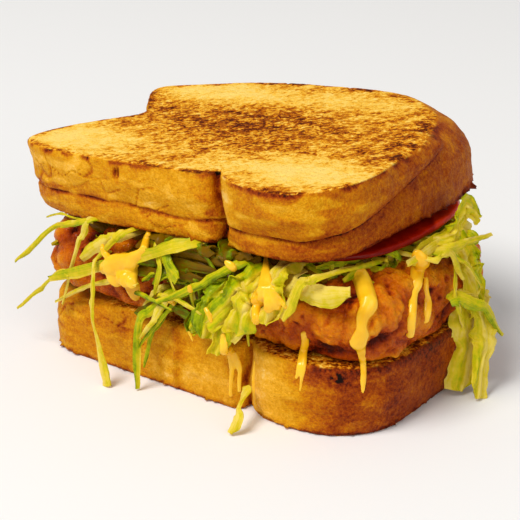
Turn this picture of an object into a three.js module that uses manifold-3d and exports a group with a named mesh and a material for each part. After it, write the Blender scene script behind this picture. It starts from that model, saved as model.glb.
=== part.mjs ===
// A chicken melt sandwich: two thick slices of griddled loaf, and between them two pieces of fried
// chicken, a slice of tomato, shredded lettuce and a thick yellow sauce that has run down the front.
// Millimetres, +Z up. The origin is the middle of the bottom slice's underside. +X runs along the
// loaf's flat bottom crust, which is the near side, and +Y points to the loaf's domed crown.
import * as THREE from "three";
import { mergeVertices } from "three/addons/utils/BufferGeometryUtils.js";
import Module from "manifold-3d";

const wasm = await Module();
wasm.setup();

// Driving dimensions of a slice.
const SLICE_HALF_WIDTH = 64;
const SLICE_HALF_DEPTH = 51;
const SLICE_THICKNESS = 24;
const CRUST_SAMPLES = 96;

// Where the top slice lies: its middle, the height of its lower face there, and how much it climbs
// for each millimetre to the right and away.
const LID = { x: -9.7, y: -0.6, z: 55.2, climbRight: 0.08, climbAway: 0.02 };

// Clearance that every piece keeps to the pieces round it.
const GAP = 0.35;

const COLOURS = {
  bread: "#d89a3c",
  chicken: "#b6501a",
  lettuce: "#b9c44a",
  tomato: "#c23a1c",
};

// A repeatable source of numbers from 0 to 1.
function seeded(seed) {
  let state = seed;
  return () => {
    state = (state + 0x6d2b79f5) | 0;
    let mixed = Math.imul(state ^ (state >>> 15), 1 | state);
    mixed = (mixed + Math.imul(mixed ^ (mixed >>> 7), 61 | mixed)) ^ mixed;
    return ((mixed ^ (mixed >>> 14)) >>> 0) / 4294967296;
  };
}

const degrees = THREE.MathUtils.degToRad;
const smooth = THREE.MathUtils.smoothstep;
const mix = THREE.MathUtils.lerp;

// A bell of height 1 round a compass angle, where both angles and the spread are in degrees.
function bell(angle, middle, spread) {
  const turn = THREE.MathUtils.euclideanModulo(angle - middle + 180, 360) - 180;
  return Math.exp(-0.5 * (turn / spread) ** 2);
}

// Loaf outline

// Each slice has the loaf's outline with its own small differences. The squareness of a quarter is
// the exponent of its superellipse: 2 is an ellipse, and a large one is nearly a rectangle. Bumps
// are [angle, spread, height] with angles in degrees from +X: they pull the outline out or in.
const PAN_SQUARENESS = 6;

// The pinch where the dough rose over the pan's rim, the ears on both sides of it and the seam in
// the bottom crust. Every slice has them.
const LOAF_BUMPS = [
  [183, 10.5, -15],
  [211, 6.5, 6.5],
  [158, 5.5, 5.5],
  [150, 9, 1.8],
  [-67.5, 2.5, -4.2],
];
const BOTTOM_SHAPE = { crownLeft: 2.3, crownRight: 2.6, bumps: [[221, 5, 3], [-37, 6, -2.5]] };
const LID_FACE_SHAPE = {
  crownLeft: 2.3,
  crownRight: 2,
  bumps: [[-49.5, 8.5, 8.5], [-26, 8, 3], [20, 12, -4], [70, 11, 1.6], [158, 6, 1]],
};
const LID_UNDER_SHAPE = {
  crownLeft: 2.3,
  crownRight: 4.2,
  bumps: [[8, 18, 2.5], [-46, 9, 3], [-100, 30, -1.6], [214, 11, -1.6]],
};

// Distance from a slice's middle to its crust.
function crustRadius(angle, shape) {
  const across = Math.abs(Math.cos(degrees(angle))) / SLICE_HALF_WIDTH;
  const away = Math.abs(Math.sin(degrees(angle))) / SLICE_HALF_DEPTH;
  const crown = Math.cos(degrees(angle)) < 0 ? shape.crownLeft : shape.crownRight;
  const square = Math.sin(degrees(angle)) < 0 ? PAN_SQUARENESS : crown;
  const plain = (across ** square + away ** square) ** (-1 / square);
  const bumps = [...LOAF_BUMPS, ...shape.bumps];
  return bumps.reduce((sum, [at, spread, height]) => sum + height * bell(angle, at, spread), plain);
}

// Solids

// A closed solid through rings of equal count, listed in the direction of travel, each of them
// counter-clockwise when seen against that direction.
function loft(rings) {
  const count = rings[0].length;
  const points = rings.flat();
  const faces = [];
  for (let level = 0; level + 1 < rings.length; level++) {
    for (let i = 0; i < count; i++) {
      const a = level * count + i;
      const b = level * count + ((i + 1) % count);
      faces.push(a, b, b + count, a, b + count, a + count);
    }
  }
  const last = (rings.length - 1) * count;
  const middleOf = (ring) =>
    ring.reduce((sum, p) => sum.add(p), new THREE.Vector3()).divideScalar(count);
  points.push(middleOf(rings[0]), middleOf(rings[rings.length - 1]));
  for (let i = 0; i < count; i++) {
    const next = (i + 1) % count;
    faces.push(points.length - 2, next, i);
    faces.push(points.length - 1, last + i, last + next);
  }
  return solidFrom(points, faces);
}

function solidFrom(points, faces) {
  const geometry = new THREE.BufferGeometry().setFromPoints(points);
  geometry.setIndex(faces);
  return solidOf(geometry);
}

function solidOf(geometry) {
  const plain = geometry.clone();
  plain.deleteAttribute("normal");
  plain.deleteAttribute("uv");
  const merged = mergeVertices(plain, 1e-4);
  return new wasm.Manifold(
    new wasm.Mesh({
      numProp: 3,
      vertProperties: new Float32Array(merged.attributes.position.array),
      triVerts: new Uint32Array(merged.index.array),
    }),
  );
}

function unite(solids) {
  return solids.reduce((whole, solid) => whole.add(solid));
}

// The largest connected piece, without the scraps that a cut leaves.
function largest(solid) {
  return solid.decompose().reduce((a, b) => (a.volume() > b.volume() ? a : b));
}

function meshOf(name, solid, colour, roughness) {
  const made = solid.getMesh();
  const geometry = new THREE.BufferGeometry();
  geometry.setAttribute("position", new THREE.BufferAttribute(made.vertProperties, 3));
  geometry.setIndex(new THREE.BufferAttribute(made.triVerts, 1));
  geometry.computeVertexNormals();
  const material = new THREE.MeshStandardMaterial({ color: colour, roughness, metalness: 0 });
  const mesh = new THREE.Mesh(geometry, material);
  mesh.name = name;
  return mesh;
}

// A solid swept along points. The section at each point is given by section(share), a list of
// [across, outward] offsets in millimetres, counter-clockwise when seen against the direction of
// travel. outwardAt(point) says which way the section's second offset points.
function sweep(points, section, outwardAt) {
  const rings = points.map((point, i) => {
    const before = points[Math.max(i - 1, 0)];
    const after = points[Math.min(i + 1, points.length - 1)];
    const travel = after.clone().sub(before).normalize();
    const across = outwardAt(point, i / (points.length - 1)).cross(travel).normalize();
    const outward = travel.clone().cross(across);
    return section(i / (points.length - 1)).map(([side, out]) =>
      point.clone().addScaledVector(across, side).addScaledVector(outward, out),
    );
  });
  return loft(rings);
}

// Bread

// How far each level of the bottom slice's crust is set in from the outline, from its underside up.
const BOTTOM_LEVELS = [
  [0, 0.8],
  [0.08, 0.1],
  [0.5, -0.8],
  [0.92, 0.4],
  [1, 2.2],
];

// The crust leans out at the top of the bottom slice's right side, and its near left corner sags.
const BOTTOM_LEAN = { angle: 0, spread: 30, out: 2.5 };
const CORNER_SAG = { angle: 220, spread: 8, depth: 4 };

function bottomRadius(angle, share, grow = 0) {
  const above = Math.max(1, BOTTOM_LEVELS.findIndex(([level]) => level >= share));
  const [lower, lowerInset] = BOTTOM_LEVELS[above - 1];
  const [upper, upperInset] = BOTTOM_LEVELS[above];
  const inset = mix(lowerInset, upperInset, (share - lower) / (upper - lower));
  const lean = BOTTOM_LEAN.out * bell(angle, BOTTOM_LEAN.angle, BOTTOM_LEAN.spread);
  return crustRadius(angle, BOTTOM_SHAPE) - inset + lean * share + grow;
}

// A ring of points round the origin, where at(angle) gives the radius and the height.
function crustRing(at) {
  return Array.from({ length: CRUST_SAMPLES }, (_, i) => {
    const angle = (360 * i) / CRUST_SAMPLES;
    const [radius, height] = at(angle);
    const turn = degrees(angle);
    return new THREE.Vector3(radius * Math.cos(turn), radius * Math.sin(turn), height);
  });
}

function bottomSlice(grow = 0) {
  const rings = BOTTOM_LEVELS.map(([share]) =>
    crustRing((angle) => {
      const sag = CORNER_SAG.depth * bell(angle, CORNER_SAG.angle, CORNER_SAG.spread);
      const height = share * (SLICE_THICKNESS - sag) + (share < 0.5 ? -grow : grow);
      return [bottomRadius(angle, share, grow), height];
    }),
  );
  return loft(rings);
}

// The top slice's crust has a fold all round it: the griddled layer above the fold overhangs the
// layer below. Towards the far right corner the fold climbs to the griddled face and fades, and the
// crust is one round shoulder there. The fold's heights are shares of the thickness, its depth is in
// millimetres, and it climbs and falls between compass angles.
const FOLD = { low: 0.38, high: 0.86, climb: [-45, 20], fall: [60, 130], depth: 1, half: 0.045 };
const SHOULDER = { angle: 36, spread: 25, depth: 8 };

// The face slopes down to the shoulder in a quarter of an ellipse: how far in from the edge it
// starts, and how far down the edge lies.
const SLOPE = { angle: 40, spread: 19, reach: 20, drop: 14 };

function foldShare(angle) {
  const turn = THREE.MathUtils.euclideanModulo(angle + 180, 360) - 180;
  const climb = smooth(turn, ...FOLD.climb);
  const fall = smooth(turn, ...FOLD.fall);
  return mix(FOLD.low, FOLD.high, climb * (1 - fall));
}

// Both layers have a corner and a belly. Where each is, as a share of its layer's height, and how
// far it is set in from the outline or stands out of it. The waist lies between the two outlines.
const LOWER_LAYER = { rim: 2, cornerAt: 0.14, corner: 0.2, bellyAt: 0.6, belly: 0.7 };
const WAIST = { reach: 0.7, inset: 0.2 };
const UPPER_LAYER = {
  bellyAt: 0.35,
  bellyReach: 0.6,
  belly: 0.8,
  cornerAt: 0.88,
  corner: 0.2,
  rim: 1.5,
};

// Each level of the top slice's crust at an angle: its share of the height and its radius.
function lidLevels(angle) {
  const fold = foldShare(angle);
  const shoulder = bell(angle, SHOULDER.angle, SHOULDER.spread);
  const under = crustRadius(angle, LID_UNDER_SHAPE);
  const face = crustRadius(angle, LID_FACE_SHAPE);
  const edge = face + SHOULDER.depth * shoulder;
  const groove = FOLD.depth * (1 - shoulder);
  const waist = Math.min(under, mix(under, edge, WAIST.reach));
  return [
    [0, under - LOWER_LAYER.rim],
    [LOWER_LAYER.cornerAt * fold, under - LOWER_LAYER.corner],
    [LOWER_LAYER.bellyAt * fold, under + LOWER_LAYER.belly * (1 - shoulder)],
    [fold - FOLD.half, waist - WAIST.inset],
    [fold, waist - groove],
    [
      mix(fold, 1, UPPER_LAYER.bellyAt),
      mix(waist, edge, UPPER_LAYER.bellyReach) + UPPER_LAYER.belly,
    ],
    [mix(fold, 1, UPPER_LAYER.cornerAt), edge - UPPER_LAYER.corner],
    [1, face - UPPER_LAYER.rim],
  ];
}

// The share of its height that a place of the lid keeps.
function heightKept(angle, radius) {
  const edge = crustRadius(angle, LID_FACE_SHAPE);
  const edgeThere = edge + SHOULDER.depth * bell(angle, SHOULDER.angle, SHOULDER.spread);
  const near = THREE.MathUtils.clamp(1 - (edgeThere - radius) / SLOPE.reach, 0, 1);
  const drop = SLOPE.drop * (1 - Math.sqrt(1 - near ** 2));
  return 1 - (drop * bell(angle, SLOPE.angle, SLOPE.spread)) / SLICE_THICKNESS;
}

function lidSlice(grow = 0) {
  const levels = lidLevels(0).length;
  const rings = Array.from({ length: levels }, (_, level) =>
    crustRing((angle) => {
      const [share, radius] = lidLevels(angle)[level];
      const height = share * SLICE_THICKNESS * heightKept(angle, radius);
      return [radius + grow, height + (level < levels / 2 ? -grow : grow)];
    }),
  );
  return onLid(loft(rings));
}

// Puts a solid made round the origin at the lid's place and tilt.
function onLid(solid) {
  const tilted = new THREE.Matrix4().makeBasis(
    new THREE.Vector3(1, 0, LID.climbRight).normalize(),
    new THREE.Vector3(0, 1, LID.climbAway).normalize(),
    new THREE.Vector3(-LID.climbRight, -LID.climbAway, 1).normalize(),
  );
  tilted.setPosition(LID.x, LID.y, LID.z);
  return solid.transform(tilted.elements);
}

// Height of the lid's lower face over a point of the plan.
function lidHeight(x, y) {
  return LID.z + LID.climbRight * (x - LID.x) + LID.climbAway * (y - LID.y);
}

// Fried chicken

// Each piece is a flattened cushion with lumps of breading. Its half sizes are along X, Y and Z, and
// its hump is the one broad rise at a corner.
const LUMP = { leastHeight: 0.8, extraHeight: 2.2, leastSpread: 0.11, extraSpread: 0.13 };
const CARVE_DETAIL = 3;
const CHICKEN_LEFT = withLumps({
  middle: [-34.6, -6, 34.9],
  half: [34.6, 43, 15.2],
  squareness: { plan: 4.4, side: 3.4 },
  hump: { turn: 227, rise: -8, height: 4 },
  lumps: 46,
  seed: 11,
  detail: 5,
});
const CHICKEN_RIGHT = withLumps({
  middle: [34, -5.5, 35],
  half: [31, 41, 14.8],
  squareness: { plan: 3.6, side: 3.1 },
  hump: { turn: -50, rise: 8, height: 3.6 },
  lumps: 52,
  seed: 29,
  detail: 6,
});
const HUMP_SPREAD = 0.4;

// The share of the lumps' height that the bread presses flat on top and underneath.
const PRESSED = 0.6;

// A direction from its compass turn and its rise above the level, in degrees.
function towards(turn, rise) {
  const level = Math.cos(degrees(rise));
  return new THREE.Vector3(
    level * Math.cos(degrees(turn)),
    level * Math.sin(degrees(turn)),
    Math.sin(degrees(rise)),
  );
}

function withLumps(piece) {
  const random = seeded(piece.seed);
  const relief = Array.from({ length: piece.lumps }, () => ({
    towards: towards(360 * random(), 60 * (random() * 2 - 1)),
    height: LUMP.leastHeight + LUMP.extraHeight * random(),
    spread: LUMP.leastSpread + LUMP.extraSpread * random(),
  }));
  return { ...piece, relief };
}

// The point of a piece's breading in a direction from its middle.
function breadingPoint(piece, direction, grow = 0) {
  const [x, y, z] = direction.toArray().map((value, i) => Math.abs(value) / piece.half[i]);
  const { plan, side } = piece.squareness;
  const plain = ((x ** plan + y ** plan) ** (side / plan) + z ** side) ** (-1 / side);
  const rise = (sum, { towards: way, height, spread }) => {
    const apart = Math.acos(Math.min(1, direction.dot(way)));
    return sum + height * Math.exp(-0.5 * (apart / spread) ** 2);
  };
  const { turn, rise: tilt, height } = piece.hump;
  const hump = rise(0, { towards: towards(turn, tilt), height, spread: HUMP_SPREAD });
  const relief = (hump + piece.relief.reduce(rise, -1)) * (1 - PRESSED * Math.abs(direction.z));
  const point = direction.clone().multiplyScalar(plain + relief + grow);
  point.add(new THREE.Vector3(...piece.middle));
  point.z = Math.max(point.z, SLICE_THICKNESS + GAP - grow);
  return point;
}

function chickenBody(piece, grow = 0, detail = piece.detail) {
  const ball = new THREE.IcosahedronGeometry(1, detail);
  const position = ball.getAttribute("position");
  for (let i = 0; i < position.count; i++) {
    const direction = new THREE.Vector3().fromBufferAttribute(position, i).normalize();
    position.setXYZ(i, ...breadingPoint(piece, direction, grow).toArray());
  }
  return solidOf(ball);
}

// Sauce

// A run of sauce is narrow where it starts and round at its end, and half as thick as it is wide.
// The widths in the list are spread evenly along it. Its tip narrows over the last share of it. Room
// for a run grows less outwards than sideways, because the crust behind it has its own room.
const SAUCE_SIDES = 5;
const RUN_STEPS = 7;
const LETTUCE_RUN_STEPS = 5;
const RUN_TIP = { from: 0.86, narrowing: 0.6 };
const RUN_FLATNESS = 0.55;
const RUN_ROOM_OUTWARDS = 0.3;

function sauceSection(widths, grow) {
  return (share) => {
    const place = share * (widths.length - 1);
    const index = Math.min(Math.floor(place), widths.length - 2);
    const width = mix(widths[index], widths[index + 1], smooth(place - index, 0, 1));
    const tip = 1 - RUN_TIP.narrowing * smooth(share, RUN_TIP.from, 1);
    const half = 0.5 * width * tip + grow;
    return Array.from({ length: SAUCE_SIDES }, (_, i) => {
      const turn = (2 * Math.PI * i) / SAUCE_SIDES;
      return [
        half * Math.cos(turn),
        RUN_FLATNESS * half * Math.sin(turn) + RUN_ROOM_OUTWARDS * grow,
      ];
    });
  };
}

function evenly(count, at) {
  return Array.from({ length: count }, (_, i) => at(i / (count - 1)));
}

// Runs down the chicken, as turns and rises from the right piece's middle.
const CHICKEN_RUNS = [
  { turns: [-60, -56], rises: [27, -15], widths: [6, 6.5, 5, 2.6, 5.4, 2.6] },
  { turns: [-10, -30], rises: [33, -17], widths: [5.4, 5, 3, 3, 3.2, 3] },
  { turns: [-12, -18.5], rises: [13, -12], widths: [2, 3, 2.6, 3.2, 3] },
  { turns: [-83, -80], rises: [-3, -15], widths: [2.6, 3, 2.6] },
];

function chickenRun(piece, { turns, rises, widths }, grow) {
  const way = (share) => towards(mix(...turns, share), mix(...rises, share));
  const points = evenly(RUN_STEPS, (share) => breadingPoint(piece, way(share)));
  return sweep(points, sauceSection(widths, grow), (point, share) => way(share));
}

// Runs down the bottom slice's crust: compass angles and heights of their ends.
const BREAD_RUNS = [
  { turns: [-37.5, -36.5], heights: [23.6, 12], widths: [2.4, 2.8, 4] },
  { turns: [-50.2, -50.6], heights: [23.6, 16], widths: [3.4, 4.4, 3] },
  { turns: [-52, -53.4], heights: [18, 13], widths: [1.8, 1.4] },
  { turns: [-50, -51.2], heights: [18, 9.5], widths: [1.8, 1.4] },
  { turns: [-76.5, -73], heights: [23.6, 17], widths: [3, 4, 4.6] },
  { turns: [-73.8, -73.6], heights: [18.5, 4], widths: [2.2, 1.8, 2.2] },
  { turns: [-71.4, -70.9], heights: [19, 5], widths: [2.6, 2, 2.2] },
  { turns: [-70, -71.2], heights: [23.6, 19.5], widths: [2, 1.8] },
  { turns: [-63.6, -63], heights: [20.5, 2.6], widths: [1.4, 2.2, 1.8, 1.8] },
  { turns: [-94, -91.3], heights: [23.4, 19.4], widths: [1.5, 1.4] },
];
const BREAD_RUN_STEPS = 4;

function breadRun({ turns, heights, widths }, grow) {
  const points = evenly(BREAD_RUN_STEPS, (share) => {
    const height = mix(...heights, share);
    const radius = bottomRadius(mix(...turns, share), height / SLICE_THICKNESS);
    return towards(mix(...turns, share), 0).multiplyScalar(radius).setZ(height);
  });
  return sweep(points, sauceSection(widths, grow), () => crustPlace(turns[0]).out);
}

// A place on the bottom slice's outline, with the level directions out of it and along it.
function crustPlace(angle) {
  const step = 4;
  const at = (turn) => towards(turn, 0).multiplyScalar(crustRadius(turn, BOTTOM_SHAPE));
  const along = at(angle + step).sub(at(angle - step)).normalize();
  return { edge: at(angle), along, out: new THREE.Vector3(along.y, -along.x, 0) };
}

// Tomato

// One wide slice of tomato under the right half of the lid. Its right edge sags from the lid.
const TOMATO = { x: 20, y: -2, halfX: 39, halfY: 43, squareness: 2.6, thickness: 3.4, sides: 36 };
const TOMATO_SAG = { from: 24, to: 60, depth: 1.8 };

// Its rim is rounded: shares of the thickness, and how far each level is set in.
const TOMATO_LEVELS = [
  [0, 1.2],
  [0.3, 0],
  [0.7, 0],
  [1, 1.2],
];

function tomatoSlice(grow = 0, headroom = 0) {
  const rings = TOMATO_LEVELS.map(([share, inset]) =>
    Array.from({ length: TOMATO.sides }, (_, i) => {
      const way = towards((360 * i) / TOMATO.sides, 0);
      const across = Math.abs(way.x / TOMATO.halfX) ** TOMATO.squareness;
      const away = Math.abs(way.y / TOMATO.halfY) ** TOMATO.squareness;
      const radius = (across + away) ** (-1 / TOMATO.squareness) - inset + grow;
      const point = way.multiplyScalar(radius).add(new THREE.Vector3(TOMATO.x, TOMATO.y, 0));
      const sag = TOMATO_SAG.depth * smooth(point.x, TOMATO_SAG.from, TOMATO_SAG.to);
      const top = lidHeight(point.x, point.y) - 1.2 * GAP - sag;
      const rise = share < 0.5 ? -grow : grow + headroom;
      return point.setZ(top - TOMATO.thickness * (1 - share) + rise);
    }),
  );
  return loft(rings);
}

// Lettuce

// The bed of lettuce under the lid and the tuft that has slid out between the two pieces of chicken.
// Strips, leaves and sauce grow out of them. The bed lies between both slices' middles, and it
// bellies out between its lower and its upper rim.
const BED = {
  shift: 0.5 * LID.x,
  inset: 9,
  ripple: 3,
  ripples: 13,
  floor: 41,
  bellyAt: 0.45,
  lowerRim: 5,
  upperRim: 4,
  samples: 39,
};
const TUFT = withLumps({
  middle: [4, -38, 40],
  half: [24, 13.5, 13],
  squareness: { plan: 2.6, side: 2.4 },
  hump: { turn: -90, rise: 0, height: 0 },
  lumps: 30,
  seed: 5,
  detail: 2,
});

function lettuceBed() {
  const ring = (heightAt, inset) =>
    Array.from({ length: BED.samples }, (_, i) => {
      const angle = (360 * i) / BED.samples;
      const ripple = BED.ripple * Math.sin(degrees(BED.ripples * angle));
      const radius = crustRadius(angle, BOTTOM_SHAPE) - BED.inset - inset + ripple;
      const point = towards(angle, 0).multiplyScalar(radius);
      point.x += BED.shift;
      return point.setZ(heightAt(point.x, point.y));
    });
  const under = (x, y) => lidHeight(x, y) - 1.5 * GAP;
  return loft([
    ring(() => BED.floor, BED.lowerRim),
    ring((x, y) => mix(BED.floor, under(x, y), BED.bellyAt), 0),
    ring((x, y) => under(x, y), BED.upperRim),
  ]);
}

// The near side and the right side, as planes that strips are placed on. A strip's three places are
// [distance along the side, height]; for the near side the distance is x, for the right side y.
const NEAR = {
  origin: new THREE.Vector3(0, -51, 0),
  along: new THREE.Vector3(1, 0, 0),
  out: new THREE.Vector3(0, -1, 0),
};
const RIGHT = {
  origin: new THREE.Vector3(63, 0, 0),
  along: new THREE.Vector3(0, 1, 0),
  out: new THREE.Vector3(1, 0, 0),
};
const ROOT_DEPTH = 13;

// The middle line of a strip: it starts inside the heap, comes out over the side at its first place,
// passes its second and ends at its third. lift is how far out it lies at its first place, reach how
// far out it ends, depth how far in it starts from the lift, and root the height it starts at. The
// course says how far back its root lies, where one more point between its first two places is, and
// how much of its reach it has at its first place, at that point and at its second place.
const COURSE = { rootBack: 0.3, rootDrop: 0.5, between: 0.55, reaches: [0.1, 0.6, 0.8] };

function stripPath(side, { places, reach, lift = 0, depth = ROOT_DEPTH, root }) {
  const [from, via, to] = places;
  const at = ([along, height], out) =>
    side.origin.clone().addScaledVector(side.along, along).addScaledVector(side.out, out)
      .add(new THREE.Vector3(0, 0, height));
  const between = (share) => [mix(from[0], via[0], share), mix(from[1], via[1], share)];
  const [first, second, third] = COURSE.reaches.map((share) => mix(lift, reach, share));
  return new THREE.CatmullRomCurve3([
    at(between(-COURSE.rootBack), lift - depth).setZ(root ?? from[1] - COURSE.rootDrop),
    at(from, first),
    at(between(COURSE.between), second),
    at(via, third),
    at(to, reach),
  ]);
}

// A strip is cut lettuce: a flat band that turns from lying to hanging, and a little about itself.
// It lies over the first share of its length, and tapers over the last to a share of its width.
const STRIP_THICKNESS = 1;
const STRIP_STEPS = 5;
const STRIP_END = 0.7;
const TAPER_FROM = 0.55;
const LYING = { until: 0.45, upward: 2 };

function strip(side, band) {
  const end = band.end ?? STRIP_END;
  const section = (share) => {
    const width = band.width * mix(1, end, smooth(share, TAPER_FROM, 1));
    const half = 0.5 * width;
    const thick = 0.5 * STRIP_THICKNESS;
    return [
      [-half, -thick],
      [half, -thick],
      [half, thick],
      [-half, thick],
    ];
  };
  const outward = (point, share) => {
    const lean = degrees((band.twist ?? 0) * share);
    const upward = LYING.upward * (1 - smooth(share, 0, LYING.until));
    return side.out.clone().multiplyScalar(Math.cos(lean))
      .addScaledVector(side.along, Math.sin(lean))
      .add(new THREE.Vector3(0, 0, upward));
  };
  return sweep(stripPath(side, band).getPoints(STRIP_STEPS), section, outward);
}

// The strips on the near side, from left to right.
const NEAR_STRIPS = [
  { places: [[-43, 53.6], [-60, 46.5], [-77, 30.4]], reach: 3.5, width: 1.9 },
  { places: [[-46, 52.4], [-56, 52.6], [-62, 50.6]], lift: 0.6, reach: 2, width: 1.1, depth: 0.8 },
  { places: [[-43.5, 53.4], [-48.2, 42.7], [-55.6, 20.1]], reach: 3.6, width: 2.2 },
  { places: [[-30, 50.5], [-38, 46.6], [-46.6, 40.2]], reach: 3.2, width: 3.8, end: 1.1 },
  { places: [[-27, 53.4], [-32.5, 48.5], [-39, 40.2]], reach: 4.8, width: 2.8 },
  { places: [[-2, 55], [-31.9, 41.3], [-59.1, 30.4]], reach: 6, width: 4.2, end: 0.8 },
  { places: [[-54, 33.6], [-67.7, 21.4], [-76.5, 13.3]], lift: 5.5, reach: 4.5, width: 1.8, depth: 0 },
  { places: [[-25, 38.4], [-44, 29.8], [-59.3, 20.2]], lift: 6, reach: 3, width: 1.9, depth: 0 },
  { places: [[-37.4, 42], [-35.2, 22], [-27.6, 2]], lift: 4.6, reach: 12.2, width: 1.7, end: 2 },
  { places: [[-15, 52], [-12.3, 44.1], [-13.8, 35.2]], reach: 4, width: 2.4 },
  { places: [[-13, 50], [-8, 46], [-3.4, 43.4]], reach: 4.6, width: 4.6, end: 1 },
  { places: [[-9.4, 47], [-7.6, 41.5], [-4.2, 36]], reach: 4.4, width: 2 },
  { places: [[18, 53], [2.8, 41.8], [-10.5, 33.7]], reach: 6.6, width: 3.4, twist: 20 },
  { places: [[-19.6, 34.4], [-12, 33.4], [-4.8, 32.6]], lift: 4, reach: 6.4, width: 1.6, depth: 0 },
  { places: [[-9, 36.4], [0.7, 36.3], [7.5, 34.6]], lift: 4, reach: 6.6, width: 1.7, depth: 0 },
  { places: [[-9.7, 36], [-18.6, 24], [-18.9, 2]], reach: 8.5, width: 3, end: 0.8, twist: 20 },
  { places: [[-9.6, 34], [-12.9, 26.3], [-16.8, 20.4]], reach: 8.8, width: 2.6, end: 0.4 },
  { places: [[-5.5, 35], [-12.6, 24.4], [-18.8, 15.6]], reach: 7, width: 1.5 },
  { places: [[-9, 30], [-15.6, 19.7], [-17.4, 8.4]], reach: 6, width: 1.8 },
  { places: [[-12, 34], [-17, 29], [-23.5, 25.6]], reach: 3, width: 4.4 },
  { places: [[9, 33], [-1.9, 30], [-8, 31.6]], reach: 3.4, width: 4.6 },
  { places: [[27, 42], [25, 35], [19.3, 28.4]], lift: 6, reach: 6.4, width: 2.6, end: 1, depth: 1 },
  {
    places: [[50, 57], [43.6, 53.5], [38.6, 40.6]],
    reach: 5.4,
    width: 2.6,
    end: 1.6,
    depth: 28,
    root: 53,
  },
  { places: [[38, 52.4], [46, 50], [57, 55]], reach: 1.6, width: 4.4, end: 1, root: 53, depth: 16 },
];

// The strips at the right end, from the near corner to the far one.
const RIGHT_STRIPS = [
  { places: [[12, 54.6], [-8, 54.8], [-24, 55.4]], reach: -1, width: 2.6, end: 0.6, depth: 16 },
  { places: [[-16, 54.4], [-10, 55], [-2.3, 44]], lift: 2, reach: 8, width: 2.4, end: 0.8, depth: 22 },
  { places: [[-3, 53.6], [-5.4, 38], [-3.6, 31]], lift: 2, reach: 8.2, width: 2, end: 0.8, depth: 20 },
  { places: [[-4, 37], [4.4, 21], [4.6, 4.6]], lift: 7.4, reach: 4.8, width: 1.7, depth: 0 },
  { places: [[-8, 53.8], [4, 54], [15, 53]], reach: 8, width: 4, end: 0.4, depth: 22 },
  { places: [[-6, 53.6], [0.4, 47], [6.1, 38]], reach: 10, width: 1.3, depth: 20 },
  { places: [[-4.6, 38], [6, 30.4], [14.2, 19.6]], lift: 7, reach: 14, width: 4, end: 0.4, depth: 1 },
];

// A leaf is a broad wavy sheet that is placed like a strip. Both of its faces are split into
// triangles alike, so that its thickness is the same all over. Its belly is half a sine over its
// length, from and to a phase, on top of a least width. The wave's turns are radians over its whole
// width and length.
const LEAF_COLUMNS = 3;
const LEAF_ROWS = 5;
const LEAF_THICKNESS = 1;
const LEAF_BELLY = { least: 0.5, from: 0.2, to: 0.92 };
const LEAF_WAVE = { across: 7, along: 8 };
const LEAF_LYING = 0.5;

function leaf(side, sheet) {
  const path = stripPath(side, sheet).getPoints(LEAF_ROWS - 1);
  const points = [];
  for (const face of [0.5, -0.5]) {
    for (let row = 0; row < LEAF_ROWS; row++) {
      const share = row / (LEAF_ROWS - 1);
      const phase = mix(LEAF_BELLY.from, LEAF_BELLY.to, share);
      const belly = mix(LEAF_BELLY.least, 1, Math.sin(Math.PI * phase));
      const lying = 1 - smooth(share, 0, LEAF_LYING);
      const turn = LEAF_WAVE.along * share + sheet.width;
      for (let column = 0; column < LEAF_COLUMNS; column++) {
        const across = column / (LEAF_COLUMNS - 1) - 0.5;
        const wave = sheet.wave * share * Math.sin(LEAF_WAVE.across * across + turn);
        const offset = wave + face * LEAF_THICKNESS;
        points.push(
          path[row].clone()
            .addScaledVector(side.along, across * sheet.width * belly)
            .addScaledVector(side.out, offset)
            .add(new THREE.Vector3(0, 0, offset * lying)),
        );
      }
    }
  }
  const faces = [];
  const half = LEAF_ROWS * LEAF_COLUMNS;
  const quad = (a, b, c, d) => faces.push(a, b, c, a, c, d);
  const next = LEAF_COLUMNS;
  for (let row = 0; row + 1 < LEAF_ROWS; row++) {
    const left = row * next;
    const right = left + next - 1;
    for (let a = left; a < right; a++) {
      const b = a + half;
      faces.push(a, a + next, a + next + 1, a, a + next + 1, a + 1);
      faces.push(b, b + next + 1, b + next, b, b + 1, b + next + 1);
    }
    quad(left, left + half, left + half + next, left + next);
    quad(right, right + next, right + half + next, right + half);
  }
  const last = half - next;
  for (let column = 0; column + 1 < next; column++) {
    quad(column, column + 1, column + 1 + half, column + half);
    quad(last + column, last + column + half, last + column + 1 + half, last + column + 1);
  }
  return solidFrom(points, faces);
}

const NEAR_LEAVES = [
  { places: [[-7, 53], [-6, 48], [-4, 41]], reach: 1, width: 10, wave: 0.9 },
  { places: [[5, 54], [6, 50], [9, 42]], reach: 1.5, width: 10, wave: 0.9 },
  { places: [[17, 55], [19, 52], [20, 46]], reach: 2, width: 10, wave: 0.9 },
  { places: [[24, 52], [19, 44], [13, 36]], reach: 7, width: 7, wave: 1.4 },
  { places: [[28, 48], [24, 42], [22, 33]], reach: 7.4, width: 10, wave: 1.4 },
  { places: [[12, 42], [11, 35], [13.6, 25.6]], reach: 6.4, width: 8, wave: 1.2 },
  { places: [[33, 54], [34, 48], [33, 38]], reach: 6.4, width: 9, wave: 1.4, root: 52.6 },
];
const RIGHT_LEAVES = [
  { places: [[9, 54], [4, 64.5], [8, 58]], reach: 4.6, width: 5, wave: 0.6, depth: 15 },
  { places: [[10, 53.4], [9, 45], [8, 35]], reach: 4, width: 9, wave: 1, depth: 18 },
  { places: [[5, 53.4], [8.5, 42], [11, 27]], reach: 9, width: 8, wave: 1.6, depth: 18 },
  { places: [[10, 33], [13, 16], [1, 1.8]], lift: 7.4, reach: 9, width: 9, wave: 1.6, depth: 1 },
  { places: [[8.5, 38], [8, 16], [0, 2.4]], lift: 3.4, reach: 4.8, width: 9, wave: 0.6, depth: 0.6 },
];

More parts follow.
